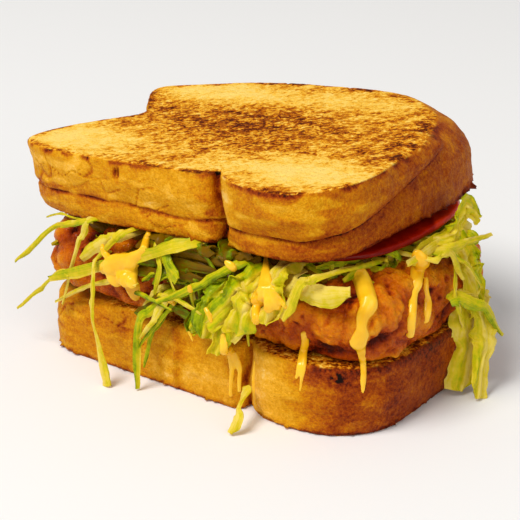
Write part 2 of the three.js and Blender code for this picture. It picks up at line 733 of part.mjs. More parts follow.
// Strips and leaves round the other sides, at an even spacing with random differences. A range is
// its least value and how much more it may be.
const ROUND = {
  from: 42,
  to: 204,
  count: 11,
  leafEvery: 4,
  leafWidth: 11,
  leafWave: 1.4,
  highest: 55,
  belowLid: [2.2, 1.5],
  drop: [9, 20],
  drift: [-11, 22],
  reach: [3, 6],
  width: [2, 2.2],
  depth: 18,
  jitter: 0.6,
  seed: 41,
};

function roundPieces() {
  const random = seeded(ROUND.seed);
  const within = ([least, more]) => least + more * random();
  return Array.from({ length: ROUND.count }, (_, i) => {
    const angle = mix(ROUND.from, ROUND.to, (i + ROUND.jitter * random()) / ROUND.count);
    const place = crustPlace(angle);
    const side = { ...place, origin: place.edge.clone() };
    const lid = Math.min(lidHeight(place.edge.x, place.edge.y), ROUND.highest);
    const top = lid - within(ROUND.belowLid);
    const drop = within(ROUND.drop);
    const drift = within(ROUND.drift);
    const places = [
      [0, top],
      [0.5 * drift, top - 0.4 * drop],
      [drift, top - drop],
    ];
    const reach = within(ROUND.reach);
    const piece = { places, reach, width: within(ROUND.width), depth: ROUND.depth };
    const broad = { ...piece, width: ROUND.leafWidth, wave: ROUND.leafWave };
    return i % ROUND.leafEvery === 2 ? leaf(side, broad) : strip(side, piece);
  });
}

// Sauce that lies on the near side's lettuce, placed like the strips.
const LETTUCE_RUNS = [
  { places: [[-14, 54], [-19.5, 47.5], [-29, 35.6]], reach: 7.6, widths: [3, 5, 5.4, 8.6, 6.4] },
  { places: [[-24, 40], [-21.4, 36], [-19.8, 29.4]], lift: 5, reach: 7, widths: [4, 4.6, 4.2, 4.4] },
  { places: [[-33, 47], [-36, 43.6], [-37.6, 39.6]], reach: 6.2, widths: [2, 3.4, 3.6], depth: 0 },
  { places: [[19, 53.6], [17.4, 52], [14.6, 50]], reach: 5, widths: [3, 4, 3.4], depth: 0 },
  { places: [[-4.4, 37], [-4.2, 34], [-2.8, 30.4]], lift: 5, reach: 7, widths: [2.4, 2.2, 2] },
  { places: [[10, 38], [10.7, 36], [11.6, 31.4]], lift: 6, reach: 7, widths: [2, 2.8, 2.4] },
  { places: [[30, 54], [32.4, 47.5], [30.4, 33.6]], reach: 8.6, widths: [2.4, 5, 6.4, 4, 3] },
  { places: [[50, 54.6], [54, 53.4], [56, 53]], reach: 4, widths: [2, 3, 3], depth: 2 },
];

const LETTUCE_RUN_TILT = 0.3;

function lettuceRun(run) {
  const outward = () => NEAR.out.clone().add(new THREE.Vector3(0, 0, LETTUCE_RUN_TILT));
  const path = stripPath(NEAR, run).getPoints(LETTUCE_RUN_STEPS).slice(1);
  return sweep(path, sauceSection(run.widths, 0), outward);
}

// One strip has dropped out. It leans in the seam of the bottom slice with its end on the table.
const LOOSE_STRIP = {
  places: [[21.8, 10.6], [25.4, 6], [25, 1.1]],
  lift: 1.4,
  reach: 14.5,
  width: 3.2,
  depth: -1,
};

// The sandwich

const breadRuns = (grow) => BREAD_RUNS.map((run) => breadRun(run, grow));
const chickenRuns = (grow) => CHICKEN_RUNS.map((run) => chickenRun(CHICKEN_RIGHT, run, grow));
const bottomToast = unite([bottomSlice(), ...breadRuns(0)]);
const bottomRoom = unite([bottomSlice(GAP), ...breadRuns(GAP)]);
const topRoom = lidSlice(GAP);
const tomatoRoom = tomatoSlice(GAP, TOMATO_SAG.depth + 1);
const chickenLeft = chickenBody(CHICKEN_LEFT).subtract(topRoom).subtract(tomatoRoom);
const chickenRight = unite([chickenBody(CHICKEN_RIGHT), ...chickenRuns(0)])
  .subtract(chickenBody(CHICKEN_LEFT, GAP))
  .subtract(bottomRoom)
  .subtract(topRoom)
  .subtract(tomatoRoom);

// The lettuce is carved with a coarse chicken that keeps further off, and then with the fine one,
// which takes off only what the coarse one leaves between its flat faces.
const CARVE_GAP = 1.8;
const lettuce = unite([
  lettuceBed(),
  chickenBody(TUFT),
  ...NEAR_STRIPS.map((band) => strip(NEAR, band)),
  ...RIGHT_STRIPS.map((band) => strip(RIGHT, band)),
  ...NEAR_LEAVES.map((sheet) => leaf(NEAR, sheet)),
  ...RIGHT_LEAVES.map((sheet) => leaf(RIGHT, sheet)),
  ...roundPieces(),
  ...LETTUCE_RUNS.map(lettuceRun),
])
  .subtract(bottomRoom)
  .subtract(topRoom)
  .subtract(tomatoRoom)
  .subtract(chickenBody(CHICKEN_LEFT, CARVE_GAP, CARVE_DETAIL))
  .subtract(chickenBody(CHICKEN_RIGHT, CARVE_GAP, CARVE_DETAIL))
  .subtract(chickenBody(CHICKEN_LEFT, GAP))
  .subtract(chickenBody(CHICKEN_RIGHT, GAP))
  .subtract(unite(chickenRuns(GAP)));

const looseStrip = strip(NEAR, LOOSE_STRIP).subtract(bottomRoom);

const sandwich = new THREE.Group();
sandwich.add(meshOf("bottom_toast", bottomToast, COLOURS.bread, 0.7));
sandwich.add(meshOf("chicken_left", largest(chickenLeft), COLOURS.chicken, 0.45));
sandwich.add(meshOf("chicken_right", largest(chickenRight), COLOURS.chicken, 0.45));
sandwich.add(meshOf("lettuce", largest(lettuce), COLOURS.lettuce, 0.5));
sandwich.add(meshOf("tomato", tomatoSlice(), COLOURS.tomato, 0.3));
sandwich.add(meshOf("top_toast", lidSlice(), COLOURS.bread, 0.7));
sandwich.add(meshOf("loose_strip", largest(looseStrip), COLOURS.lettuce, 0.5));

export default sandwich;
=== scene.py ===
# %% [markdown]
# A chicken melt sandwich, dressed for the camera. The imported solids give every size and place. This
# lesson builds finer pieces over them: griddled bread, fried breading, shredded lettuce, tomato and
# a thick yellow sauce.

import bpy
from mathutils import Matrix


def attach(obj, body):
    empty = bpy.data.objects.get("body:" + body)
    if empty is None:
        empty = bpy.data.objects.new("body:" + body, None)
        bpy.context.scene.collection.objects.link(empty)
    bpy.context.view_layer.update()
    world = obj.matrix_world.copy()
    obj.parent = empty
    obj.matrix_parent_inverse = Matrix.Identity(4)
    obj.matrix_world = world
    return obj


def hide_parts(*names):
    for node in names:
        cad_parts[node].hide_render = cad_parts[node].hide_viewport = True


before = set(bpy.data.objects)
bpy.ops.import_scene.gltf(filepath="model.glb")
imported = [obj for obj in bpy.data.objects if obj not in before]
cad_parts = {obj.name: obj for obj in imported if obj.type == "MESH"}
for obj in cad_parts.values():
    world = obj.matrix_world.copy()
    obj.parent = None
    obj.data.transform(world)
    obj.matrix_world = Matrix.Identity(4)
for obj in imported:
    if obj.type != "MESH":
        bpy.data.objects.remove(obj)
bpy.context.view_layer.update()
print("nodes:", sorted(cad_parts))

# %% [markdown]
# The shapes are worked out in millimetres, because food is easy to think of that way: a shred is
# 2 mm wide and a crumb 0.5 mm. Each finished mesh is put in metres by one function.

# %% Tools and numbers
import math
import random

import bmesh
import bpy
from mathutils import Matrix, Vector, noise
from mathutils.bvhtree import BVHTree

MILLIMETRE = 0.001


def mix(a, b, share):
    return a + (b - a) * share


def smooth(value, low, high):
    share = min(1, max(0, (value - low) / (high - low)))
    return share * share * (3 - 2 * share)


def bell(value, middle, spread):
    return math.exp(-0.5 * ((value - middle) / spread) ** 2)


def wrapped(angle):
    """The same compass angle, between -180 and 180."""
    return (angle + 180) % 360 - 180


def angle_bell(angle, middle, spread):
    return bell(wrapped(angle - middle), 0, spread)


def bump_at(angle, bump):
    """What a bump (compass angle, spread, height) adds at an angle."""
    at, spread, height = bump
    return height * angle_bell(angle, at, spread)


def towards(turn, rise=0):
    level = math.cos(math.radians(rise))
    turn = math.radians(turn)
    return Vector((level * math.cos(turn), level * math.sin(turn), math.sin(math.radians(rise))))


def stepped(stops, value):
    """The value of a broken line through (place, height) stops."""
    for (low, a), (high, b) in zip(stops, stops[1:]):
        if value <= high:
            return mix(a, b, max(0, (value - low) / (high - low)))
    return stops[-1][1]


def rough(place, size, seed=0):
    """Noise from -1 to 1 whose grains are about size millimetres across."""
    return noise.noise(Vector(place) / size + Vector((seed * 7.3, seed * 3.1, seed * 5.7)))


def patches(place, size, seed, low, high):
    """0 to 1 in patches: 0 where the noise is under low, and 1 where it is over high."""
    return smooth(rough(place, size, seed), low, high)


# %% [markdown]
# The camera stands where the photograph was taken from, so that a render can be laid beside it: in
# front of the near right corner and a little above. A long lens keeps the bread's edges nearly
# parallel.

# %% Camera
TARGET = Vector((4, -21, 40))
AZIMUTH = 36
ELEVATION = 23
DISTANCE = 520
FOCAL_LENGTH = 108
SENSOR_WIDTH = 36
NEAREST_SEEN = 10


def make_camera():
    back = towards(AZIMUTH - 90, ELEVATION)
    camera = bpy.data.objects.new("camera", bpy.data.cameras.new("camera"))
    bpy.context.scene.collection.objects.link(camera)
    camera.location = (TARGET + DISTANCE * back) * MILLIMETRE
    camera.rotation_euler = back.to_track_quat("Z", "Y").to_euler()
    camera.data.lens = FOCAL_LENGTH
    camera.data.sensor_width = SENSOR_WIDTH
    camera.data.clip_start = NEAREST_SEEN * MILLIMETRE
    bpy.context.scene.camera = camera
    return camera


print("camera at", make_camera().location)

# %% [markdown]
# A piece starts as a bmesh, is often remeshed into even small faces, and then each vertex is moved
# along its normal and painted. Painting means storing a number on each vertex, such as how brown
# the bread is there, which the material reads. The numbers go with the mesh wherever it goes.

# %% Mesh helpers


def piece_from(name, bm):
    mesh = bpy.data.meshes.new(name)
    bm.to_mesh(mesh)
    bm.free()
    piece = bpy.data.objects.new(name, mesh)
    bpy.context.scene.collection.objects.link(piece)
    return piece


def apply_modifiers(piece):
    evaluated = piece.evaluated_get(bpy.context.evaluated_depsgraph_get())
    mesh = bpy.data.meshes.new_from_object(evaluated)
    piece.modifiers.clear()
    piece.data = mesh


def remeshed(piece, voxel, rounds=0):
    """Even faces of about the voxel's size, smoothed a number of rounds."""
    voxels = piece.modifiers.new("voxels", "REMESH")
    voxels.mode = "VOXEL"
    voxels.voxel_size = voxel
    if rounds:
        ironed = piece.modifiers.new("ironed", "SMOOTH")
        ironed.iterations = rounds
    apply_modifiers(piece)
    return piece


def dressed(piece, names, look_at):
    """look_at(place, normal) gives a push along the normal and one value for each name."""
    mesh = piece.data
    places = [(v.co.copy(), v.normal.copy()) for v in mesh.vertices]
    looks = [look_at(place, normal) for place, normal in places]
    for index, name in enumerate(names):
        layer = mesh.attributes.new(name, "FLOAT", "POINT")
        layer.data.foreach_set("value", [look[index + 1] for look in looks])
    for vertex, (place, normal), look in zip(mesh.vertices, places, looks):
        vertex.co = place + normal * look[0]
    mesh.update()
    return piece


def shaded_smooth(piece):
    piece.data.polygons.foreach_set("use_smooth", [True] * len(piece.data.polygons))
    return piece


def tree_of(piece):
    """A search tree of a piece's faces, in millimetres, to lay other things on it."""
    mesh = piece.data
    points = [v.co.copy() for v in mesh.vertices]
    return BVHTree.FromPolygons(points, [list(p.vertices) for p in mesh.polygons])


# %% [markdown]
# Both slices were cut from one loaf: a flat bottom crust on the near side, upright pan sides, a
# pinch where the dough rose over the pan's rim, and a domed crown at the back. The outline is a
# superellipse whose exponent differs by quarter, with bumps that pull it in or out. A bump is its
# compass angle, its spread in degrees and its height in millimetres. A curve drawn by hand would do
# too, but with a radius for every angle the slices, their looks and the lettuce share one outline.

# %% Loaf outline
HALF_WIDTH = 64
HALF_DEPTH = 51
THICKNESS = 24
PAN_SQUARENESS = 6
LOAF_BUMPS = [(183, 10.5, -15), (211, 6.5, 6.5), (158, 5.5, 5.5), (150, 9, 1.8), (-67.5, 2.5, -4.2)]
BOTTOM_SHAPE = {"left": 2.3, "right": 2.6, "bumps": [(221, 5, 3), (-37, 6, -2.5)]}
LID_FACE_SHAPE = {
    "left": 2.3,
    "right": 2,
    "bumps": [(-49.5, 8.5, 8.5), (-26, 8, 3), (20, 12, -4), (70, 11, 1.6), (158, 6, 1)],
}
LID_UNDER_SHAPE = {
    "left": 2.3,
    "right": 4.2,
    "bumps": [(8, 18, 2.5), (-46, 9, 3), (-100, 30, -1.6), (214, 11, -1.6)],
}


def crust_radius(angle, shape):
    cosine = math.cos(math.radians(angle))
    sine = math.sin(math.radians(angle))
    square = PAN_SQUARENESS if sine < 0 else shape["left" if cosine < 0 else "right"]
    plain = (abs(cosine / HALF_WIDTH) ** square + abs(sine / HALF_DEPTH) ** square) ** (-1 / square)
    return plain + sum(bump_at(angle, bump) for bump in LOAF_BUMPS + shape["bumps"])


print("bottom slice is", round(crust_radius(0, BOTTOM_SHAPE), 1), "mm from middle to right side")

# %% [markdown]
# A slice could be a box with its corners rounded, but its side is different at every height. So it
# is a circle that is extruded upwards level by level, each level moved out to the outline. Extruding
# keeps every vertex at its own compass angle, so the angle can be read back from it.

# %% A slice from its levels
CRUST_SAMPLES = 480


def angle_of(place):
    return math.degrees(math.atan2(place.y, place.x))


def loaf_slice(name, levels_at):
    """levels_at(angle) gives (radius, height) of each level at a compass angle."""
    bm = bmesh.new()
    bmesh.ops.create_circle(bm, segments=CRUST_SAMPLES, radius=HALF_DEPTH)
    ring = list(bm.edges)
    first = ring
    for level in range(len(levels_at(0))):
        if level:
            made = bmesh.ops.extrude_edge_only(bm, edges=ring)["geom"]
            ring = [part for part in made if isinstance(part, bmesh.types.BMEdge)]
        for vertex in {v for edge in ring for v in edge.verts}:
            radius, height = levels_at(angle_of(vertex.co))[level]
            vertex.co = towards(angle_of(vertex.co)) * radius + Vector((0, 0, height))
    bmesh.ops.contextual_create(bm, geom=first)
    bmesh.ops.contextual_create(bm, geom=ring)
    bmesh.ops.recalc_face_normals(bm, faces=bm.faces)
    return piece_from(name, bm)


def seam_at(seam, share):
    """A seam wanders a little as it climbs: its compass angle at a share of the height."""
    return seam["angle"] + seam["wander"] * noise.noise(Vector((2.6 * share, 0, seam["angle"])))


def seam_depth(seam, angle, share):
    return seam["depth"] * angle_bell(angle, seam_at(seam, share), seam["spread"])


# %% [markdown]
# The bottom slice stands on its cut face. Its crust bellies a little between two rounded edges,
# leans out at the top of the right side, and sags at the near left corner. A level is its share of
# the height and how far it lies inside the outline.

# %% Bottom slice
BREAD_VOXEL = 0.68
BREAD_IRONING = 2
BOTTOM_LEVELS = [(0, 0.8), (0.03, 0.3), (0.08, 0.1), (0.5, -0.8), (0.92, 0.4), (0.97, 1.0), (1, 2.2)]
BOTTOM_LEAN = (0, 30, 2.5)
CORNER_SAG = (220, 8, 4)
BOTTOM_SEAM = {"angle": -68.6, "spread": 0.8, "depth": 2.8, "wander": 1.6}


def bottom_levels(angle):
    height = THICKNESS - bump_at(angle, CORNER_SAG)
    lean = bump_at(angle, BOTTOM_LEAN)
    edge = crust_radius(angle, BOTTOM_SHAPE)
    return [
        (edge - inset + lean * share - seam_depth(BOTTOM_SEAM, angle, share), share * height)
        for share, inset in BOTTOM_LEVELS
    ]


bottom_toast = remeshed(loaf_slice("bottom_bread", bottom_levels), BREAD_VOXEL, BREAD_IRONING)
print("bottom slice:", len(bottom_toast.data.polygons), "faces")

# %% [markdown]
# The top slice's crust has a fold all round: the griddled layer overhangs the layer below. On the
# left the fold is a fine line, at the near right it is a fat lip, and towards the far right corner
# it climbs to the face and fades into one round shoulder. Three broken lines over the compass angle
# say how high the fold is, how far the upper layer stands out over the lower one, and how deep the
# groove between them is.

# %% Top slice
FOLD_HEIGHT = [
    (-180, 0.38), (-130, 0.4), (-100, 0.34), (-84, 0.3), (-74, 0.34), (-62, 0.34), (-45, 0.32),
    (-28, 0.42), (-10, 0.62), (12, 0.84), (60, 0.86), (130, 0.4), (180, 0.38),
]
OVERHANG = [
    (-180, 0.8), (-150, 0.8), (-132, 0.6), (-120, 0.2), (-80, 0.2), (-72, 0.6), (-64, 2.4),
    (-30, 2.2), (0, 1.4), (20, 0.8), (150, 0.6), (180, 0.8),
]
FOLD_DEPTH = [
    (-180, 0.8), (-145, 0.7), (-130, 0.35), (-110, 0.28), (-76, 0.3), (-66, 1), (0, 0.9), (180, 0.8),
]
SHOULDER = {"angle": 36, "spread": 25, "depth": 8}
ROUND_CORNER = {"angle": 29, "spread": 17, "fullness": 1.4, "from": 0.42}
LEFT_LEAN = (214, 12, 1.5)
RIGHT_LEDGE = (8, 22, 1.5)
LID_SEAM = {"angle": -67.6, "spread": 0.9, "depth": 3.4, "wander": 2}
LOWER_BELLY = 0.3
FACE_INSET = 1.1


def fold_share(angle):
    wander = 0.03 * noise.noise(Vector((angle / 9, 0, 3.3)))
    return stepped(FOLD_HEIGHT, wrapped(angle)) + wander


def corner_share(angle):
    """1 at the far right corner, where the fold fades, and 0 away from it."""
    fullness = ROUND_CORNER["fullness"]
    return min(1, fullness * angle_bell(angle, ROUND_CORNER["angle"], ROUND_CORNER["spread"]))


def rounded(share, under, face):
    """The radius at a share of the height, on a quarter ellipse from the side to the face."""
    climb = max(0, (share - ROUND_CORNER["from"]) / (1 - ROUND_CORNER["from"]))
    return mix(face - FACE_INSET, under + LOWER_BELLY, math.sqrt(1 - climb * climb))


def folded_levels(angle, under, face):
    """Share of the height and radius of each level: lower layer, groove, lip and upper layer."""
    fold = fold_share(angle)
    shoulder = angle_bell(angle, SHOULDER["angle"], SHOULDER["spread"])
    edge = face + SHOULDER["depth"] * shoulder
    overhang = stepped(OVERHANG, wrapped(angle))
    lip = under + overhang * (1 - shoulder)
    groove = stepped(FOLD_DEPTH, wrapped(angle)) * (1 - shoulder)
    puff = min(1, 0.5 * overhang)
    lean = bump_at(angle, LEFT_LEAN)
    ledge = max(0, under - edge) + bump_at(angle, RIGHT_LEDGE)
    lower_layer = [
        (0, under - 1.6 - lean),
        (0.12 * fold, under - 0.3 - 0.5 * lean),
        (0.55 * fold, under + LOWER_BELLY + 0.2 * puff),
        (0.76 * fold, under + 0.1 + 0.1 * puff - 0.35 * ledge),
        (fold - 0.04, under + 0.2 - 0.3 * puff - 0.95 * ledge),
    ]
    bottom_of_groove = [(fold - 0.01, min(under, edge) + 0.2 - groove - 0.4)]
    overhanging_lip = [
        (fold + 0.02, lip + 0.2 - 1.1 * puff),
        (fold + 0.08, lip + 0.2 - 0.3 * puff),
    ]
    upper_layer = [
        (mix(fold, 1, 0.45), mix(lip, edge, 0.6) + 0.9 - lean),
        (mix(fold, 1, 0.86), edge - 0.1),
        (0.997, mix(face, edge, 0.5) - 0.6),
        (1, face - FACE_INSET),
    ]
    return lower_layer + bottom_of_groove + overhanging_lip + upper_layer


def lid_levels(angle):
    under = crust_radius(angle, LID_UNDER_SHAPE)
    face = crust_radius(angle, LID_FACE_SHAPE)
    corner = corner_share(angle)
    return [
        (
            mix(radius, rounded(share, under, face), corner) - seam_depth(LID_SEAM, angle, share),
            share * THICKNESS,
        )
        for share, radius in folded_levels(angle, under, face)
    ]


top_toast = remeshed(loaf_slice("top_bread", lid_levels), BREAD_VOXEL, BREAD_IRONING)
print("top slice:", len(top_toast.data.polygons), "faces")

# %% [markdown]
# Griddled bread browns where it touches the hot plate: in a broad dark patch at the middle, in
# speckles elsewhere, and along the rim. What stays off the plate is cream. An image could be painted
# for this, but a few bells in the slice's plan need none, and each can be moved by itself. A bell is
# its middle, its half sizes, and how much it darkens or pales the face.

# %% Griddle patches
FACE_PATCHES = [
    (-14, 0, 28, 11, 0.26),
    (8, -16, 20, 11, 0.16),
    (14, 8, 16, 9, 0.12),
    (-52, -36, 15, 11, -0.46),
    (44, -37, 19, 9, -0.5),
    (-36, 30, 20, 8, -0.44),
    (18, 35, 16, 7, -0.22),
    (55, 4, 6, 20, 0.22),
]
FACE_LEVEL = 0.46


def griddled(x, y):
    browned = [h * bell(x, px, sx) * bell(y, py, sy) for px, py, sx, sy, h in FACE_PATCHES]
    return FACE_LEVEL + sum(browned) + 0.05 * rough((x, y, 0), 14, 2)


# %% [markdown]
# A crust's brownness changes round the loaf: golden at the near left, pale where the dough tore at
# the seam, and deep brown on the right side and the crown. It is a broken line over the compass
# angle, with mottling from noise. A crust also wrinkles as the loaf shrinks: the borders between
# long Voronoi cells make such a net of fine creases, and it comes and goes in patches.

# %% Crust looks
LID_BROWN = [
    (-180, 0.46), (-150, 0.42), (-110, 0.38), (-90, 0.38), (-76, 0.42), (-69, 0.54), (-65, 0.22),
    (-60, 0.42), (-52, 0.52), (-42, 0.56), (-30, 0.62), (-5, 0.67), (25, 0.64), (45, 0.52),
    (70, 0.66), (120, 0.7), (150, 0.56), (180, 0.46),
]
LID_LOW_BROWN = [
    (-180, 0.58), (-140, 0.56), (-110, 0.44), (-85, 0.42), (-70, 0.58), (-62, 0.6), (-45, 0.68),
    (-20, 0.72), (20, 0.7), (120, 0.7), (180, 0.58),
]
BOTTOM_BROWN = [
    (-180, 0.48), (-150, 0.48), (-120, 0.48), (-95, 0.44), (-80, 0.34), (-71, 0.48), (-67, 0.22),
    (-57, 0.34), (-50, 0.56), (-42, 0.76), (-30, 0.8), (0, 0.78), (40, 0.7), (90, 0.7),
    (150, 0.56), (180, 0.48),
]
WRINKLE = {"length": 15, "height": 5.5, "bend": 0.5, "width": 0.035}
STRATA = {"band": (9, 1.5, 0.06), "torn_patch": (8, 3.6, 0.18)}
PIT = {"x": [-20.6, -19.3], "z": 19.8, "width": 0.32, "height": 1.1}
BLISTER = Vector((51.8, -46.6, 20.8))
TORN_BAND = {"x": -6, "half": 10, "z": 7, "half_height": 3.2, "fold": -8.5}
FOLD_STEP = [(-1.6, 0), (0.2, 0.8), (0.9, -0.4), (3, 0)]
DARKEST = 0.9


def along_crust(angle):
    return math.radians(angle) * HALF_WIDTH


def crust_wrinkles(place, angle):
    bend = WRINKLE["bend"] * rough(place, 8, 40)
    spot = (along_crust(angle) / WRINKLE["length"] + bend, place.z / WRINKLE["height"] + bend, 4.2)
    nearest, second = noise.voronoi(Vector(spot))[0][:2]
    return bell(second - nearest, 0, WRINKLE["width"]) * patches(place, 14, 41, -0.05, 0.25)


def pan_side(place):
    """1 on the crust that rose against the pan, and little on the free crown."""
    return mix(0.15, 1, smooth(-place.y, -20, 20))


def upright(normal):
    """1 on the crust, and 0 where the skin lies level."""
    return smooth(1 - abs(normal.z), 0.15, 0.6)


def crust_push(place, crease):
    lumps = 0.5 * rough(place, 13) + 0.42 * rough(place, 5) + 0.24 * rough(place, 2.2)
    return lumps - 0.55 * crease


def crumb_push(place):
    """Pores in the griddled crumb: it is flat, with pits where bubbles were cut open."""
    pore = patches((place.x, place.y, 0), 1.7, 3, 0.18, 0.55)
    return -0.34 * pore + 0.12 * rough(place, 6, 1) + 0.05 * rough(place, 0.9, 2)


def mottling(place, broad, seed):
    """Broad clouds and finer spots of browning."""
    return broad * rough(place, 11, seed) + 0.07 * rough(place, 3.4, seed + 1)


def strata(place, angle, seed):
    """Long faint bands along a pan side, where the dough was stretched as it rose."""
    length, height, strength = STRATA["band"]
    bands = noise.noise(Vector((along_crust(angle) / length, place.z / height, seed)))
    length, height, paler = STRATA["torn_patch"]
    spot = Vector((along_crust(angle) / length, place.z / height, seed + 2))
    return strength * bands - paler * smooth(noise.noise(spot), 0.08, 0.34) * smooth(-place.y, 20, 44)


def torn(place, height, seed):
    """1 at the cut edge of a crust, which is torn up to about this height, and 0 above."""
    ragged = height + 1.6 * rough(place, 4, seed)
    return smooth(-place.z, -ragged, 0)


def edge_crumbs(place, seed):
    """Crumbs that stand out of a torn edge, and bites where they fell off."""
    crumb = max(0, rough(place, 1.4, seed) - 0.05)
    bite = max(0, rough(place, 4.4, seed + 1) - 0.1)
    return 3.6 * crumb - 4 * bite


def pit_depth(place):
    """Two small slits in the near left crust, where a bubble broke."""
    slits = max(bell(place.x, x, PIT["width"]) for x in PIT["x"])
    return slits * bell(place.z, PIT["z"], PIT["height"]) * smooth(-place.y, 38, 42)


def seam_shade(place, angle, seam):
    return angle_bell(angle, seam_at(seam, place.z / THICKNESS), 0.8 * seam["spread"])


print("darkest crust:", DARKEST, "of the way from cream to burnt")

# %% [markdown]
# The top slice's looks. Its crease value gathers where the crust is deep: the groove under the fold,
# wrinkles, the seam and the two pits. The material paints these darker, as shade. Its browning
# follows the broken lines, and is darker along the torn lower edge, under the lip and at the rim of
# the griddled face.

# %% Looks of the top slice
FOLD_CREASE = 0.4


def groove_height(angle):
    return (fold_share(angle) - 0.005) * THICKNESS


def lid_crease(place, angle):
    groove = bell(place.z, groove_height(angle), FOLD_CREASE) * (1 - corner_share(angle))
    groove *= mix(1, patches(place, 6, 49, -0.4, 0.35), smooth(-place.x, -18, -8))
    wrinkle = 0.8 * crust_wrinkles(place, angle) * smooth(-place.x, -50, 10) * pan_side(place)
    # The material paints this crease value darker, as shade.
    return max(groove, wrinkle, seam_shade(place, angle, LID_SEAM), 1.6 * pit_depth(place))


def lid_brown(place, angle, edge):
    groove = groove_height(angle)
    upper = smooth(place.z, groove - FOLD_CREASE, groove + FOLD_CREASE)
    rim = bell(place.z, THICKNESS - 0.6, 0.8) * smooth(-place.y, -60, 10)
    under_lip = bell(place.z, groove + 1.4, 1.4) * patches(place, 6, 45, -0.3, 0.3)
    brown = mix(stepped(LID_LOW_BROWN, angle), stepped(LID_BROWN, angle), upper)
    brown += 0.34 * edge + 0.14 * under_lip
    brown += 0.4 * rim * patches(place, 5, 6, -0.2, 0.3)
    return min(DARKEST, brown + (mottling(place, 0.12, 4) + strata(place, angle, 7.7)))


def lid_griddle(place, angle):
    """How dark the griddled face is: its patches, and a toasted line just inside the rim."""
    inset = crust_radius(angle, LID_FACE_SHAPE) - place.xy.length
    rim = 0.42 * bell(inset, 1.2, 1.6) * patches(place, 8, 8, -0.35, 0.2)
    return griddled(place.x, place.y) + rim


def lid_look(place, normal):
    angle = angle_of(place)
    face = smooth(place.z, THICKNESS - 1.4, THICKNESS - 0.5) * smooth(normal.z, 0.55, 0.9)
    face *= 1 - smooth(0.97 - normal.z, 0, 0.03) * corner_share(angle)
    crease = upright(normal) * lid_crease(place, angle)
    edge = torn(place, 2, 43)
    crumbs = edge * edge_crumbs(place, 44) - 1.2 * pit_depth(place)
    crust = upright(normal) * (crust_push(place, crease) + crumbs)
    push = mix(crust, crumb_push(place), face)
    return push, lid_brown(place, angle, edge), lid_griddle(place, angle), face, crease, 0.0


print("groove at the left", round(groove_height(180), 1), "mm up")

# %% [markdown]
# The bottom slice's looks. On its near side the dough folded over and tore as it rose, which left a
# crease and a pale ragged band beside the seam. At the right, sauce and oil have run down and soaked
# in: it is darker and greasy there, with one burnt blister.

# %% Looks of the bottom slice


def near_side(place):
    """1 on the near side, and 0 from its corners on."""
    return smooth(-place.y, 30, 40)


def folded_dough(place):
    """How far a place is from the folded crease, along the near side."""
    return place.x - TORN_BAND["fold"] + 1.6 * rough(place, 9, 53)


def torn_band(place):
    across = bell(place.x, TORN_BAND["x"], TORN_BAND["half"])
    return across * bell(place.z, TORN_BAND["z"], TORN_BAND["half_height"])


def soaked_crust(place, angle):
    soaked = smooth(angle, -60, -50) * smooth(-angle, 34, 46) * smooth(place.z, 7, 15)
    return soaked * patches(place, 9, 46, -0.4, 0.1)


def bottom_crease(place, angle):
    wrinkle = 0.7 * crust_wrinkles(place, angle) * smooth(-place.x, -10, 30) * pan_side(place)
    stretch = bell(folded_dough(place), 0, 0.9) * near_side(place) * smooth(place.z, 1, 6)
    # The material paints this crease value darker, as shade.
    return max(wrinkle, 0.25 * stretch, seam_shade(place, angle, BOTTOM_SEAM))


def bottom_look(place, normal):
    angle = angle_of(place)
    front = near_side(place)
    face = smooth(abs(normal.z), 0.8, 0.97) * smooth(abs(place.z - THICKNESS / 2), 10, 11.5)
    crease = upright(normal) * bottom_crease(place, angle)
    soaked = soaked_crust(place, angle)
    right_top = smooth(place.z, 17, 23.5) * smooth(angle, -62, -48)
    edge = torn(place, 2.2, 47)
    rim = 0.34 * edge + 0.1 * bell(place.z, THICKNESS - 0.8, 1) * patches(place, 6, 48, -0.4, 0.2)
    blister = bell((place - BLISTER).length, 0, 1.1) * patches(place, 1.5, 50, -0.2, 0.3)
    brown = stepped(BOTTOM_BROWN, angle) + 0.1 * soaked + 0.08 * right_top + rim
    brown -= 0.26 * torn_band(place) * patches(place, 4, 51, -0.3, 0.25) * front
    brown += 0.1 * bell(folded_dough(place), 1.4, 1.8) * front
    brown += mottling(place, 0.1, 14)
    brown = min(DARKEST, brown + 0.6 * strata(place, angle, 3.1)) + blister
    crumbs = edge * edge_crumbs(place, 48) + 0.8 * blister + 0.9 * torn_band(place) * rough(place, 3, 52)
    crumbs += stepped(FOLD_STEP, folded_dough(place)) * front
    push = mix(upright(normal) * (crust_push(place, crease) + crumbs), crumb_push(place), face)
    if place.z < 1:
        push = min(0, push)
    grease = max(soaked, 0.5 * right_top)
    return push, brown, 0.56 + 0.14 * smooth(place.x, -20, 40), face, crease, grease


BREAD_VALUES = ["browning", "griddle", "face", "crease", "grease"]
dressed(bottom_toast, BREAD_VALUES, bottom_look)
dressed(top_toast, BREAD_VALUES, lid_look)
print("bread dressed with", BREAD_VALUES)

# %% [markdown]
# The top slice lies askew. Its mesh, not its object, is tilted and moved, so that the object stays
# at the origin, where the export expects it.

# %% Lay the top slice
LID = {"x": -9.7, "y": -0.6, "z": 55.2, "climb_right": 0.08, "climb_away": 0.02}


def lid_place():
    right, away = LID["climb_right"], LID["climb_away"]
    axes = [Vector((1, 0, right)), Vector((0, 1, away)), Vector((-right, -away, 1))]
    turn = Matrix([axis.normalized() for axis in axes]).transposed().to_4x4()
    return Matrix.Translation((LID["x"], LID["y"], LID["z"])) @ turn


def lid_height(x, y):
    return LID["z"] + LID["climb_right"] * (x - LID["x"]) + LID["climb_away"] * (y - LID["y"])


top_toast.data.transform(lid_place())
print("lid lies from", round(lid_height(-70, 0), 1), "to", round(lid_height(50, 0), 1), "mm up")

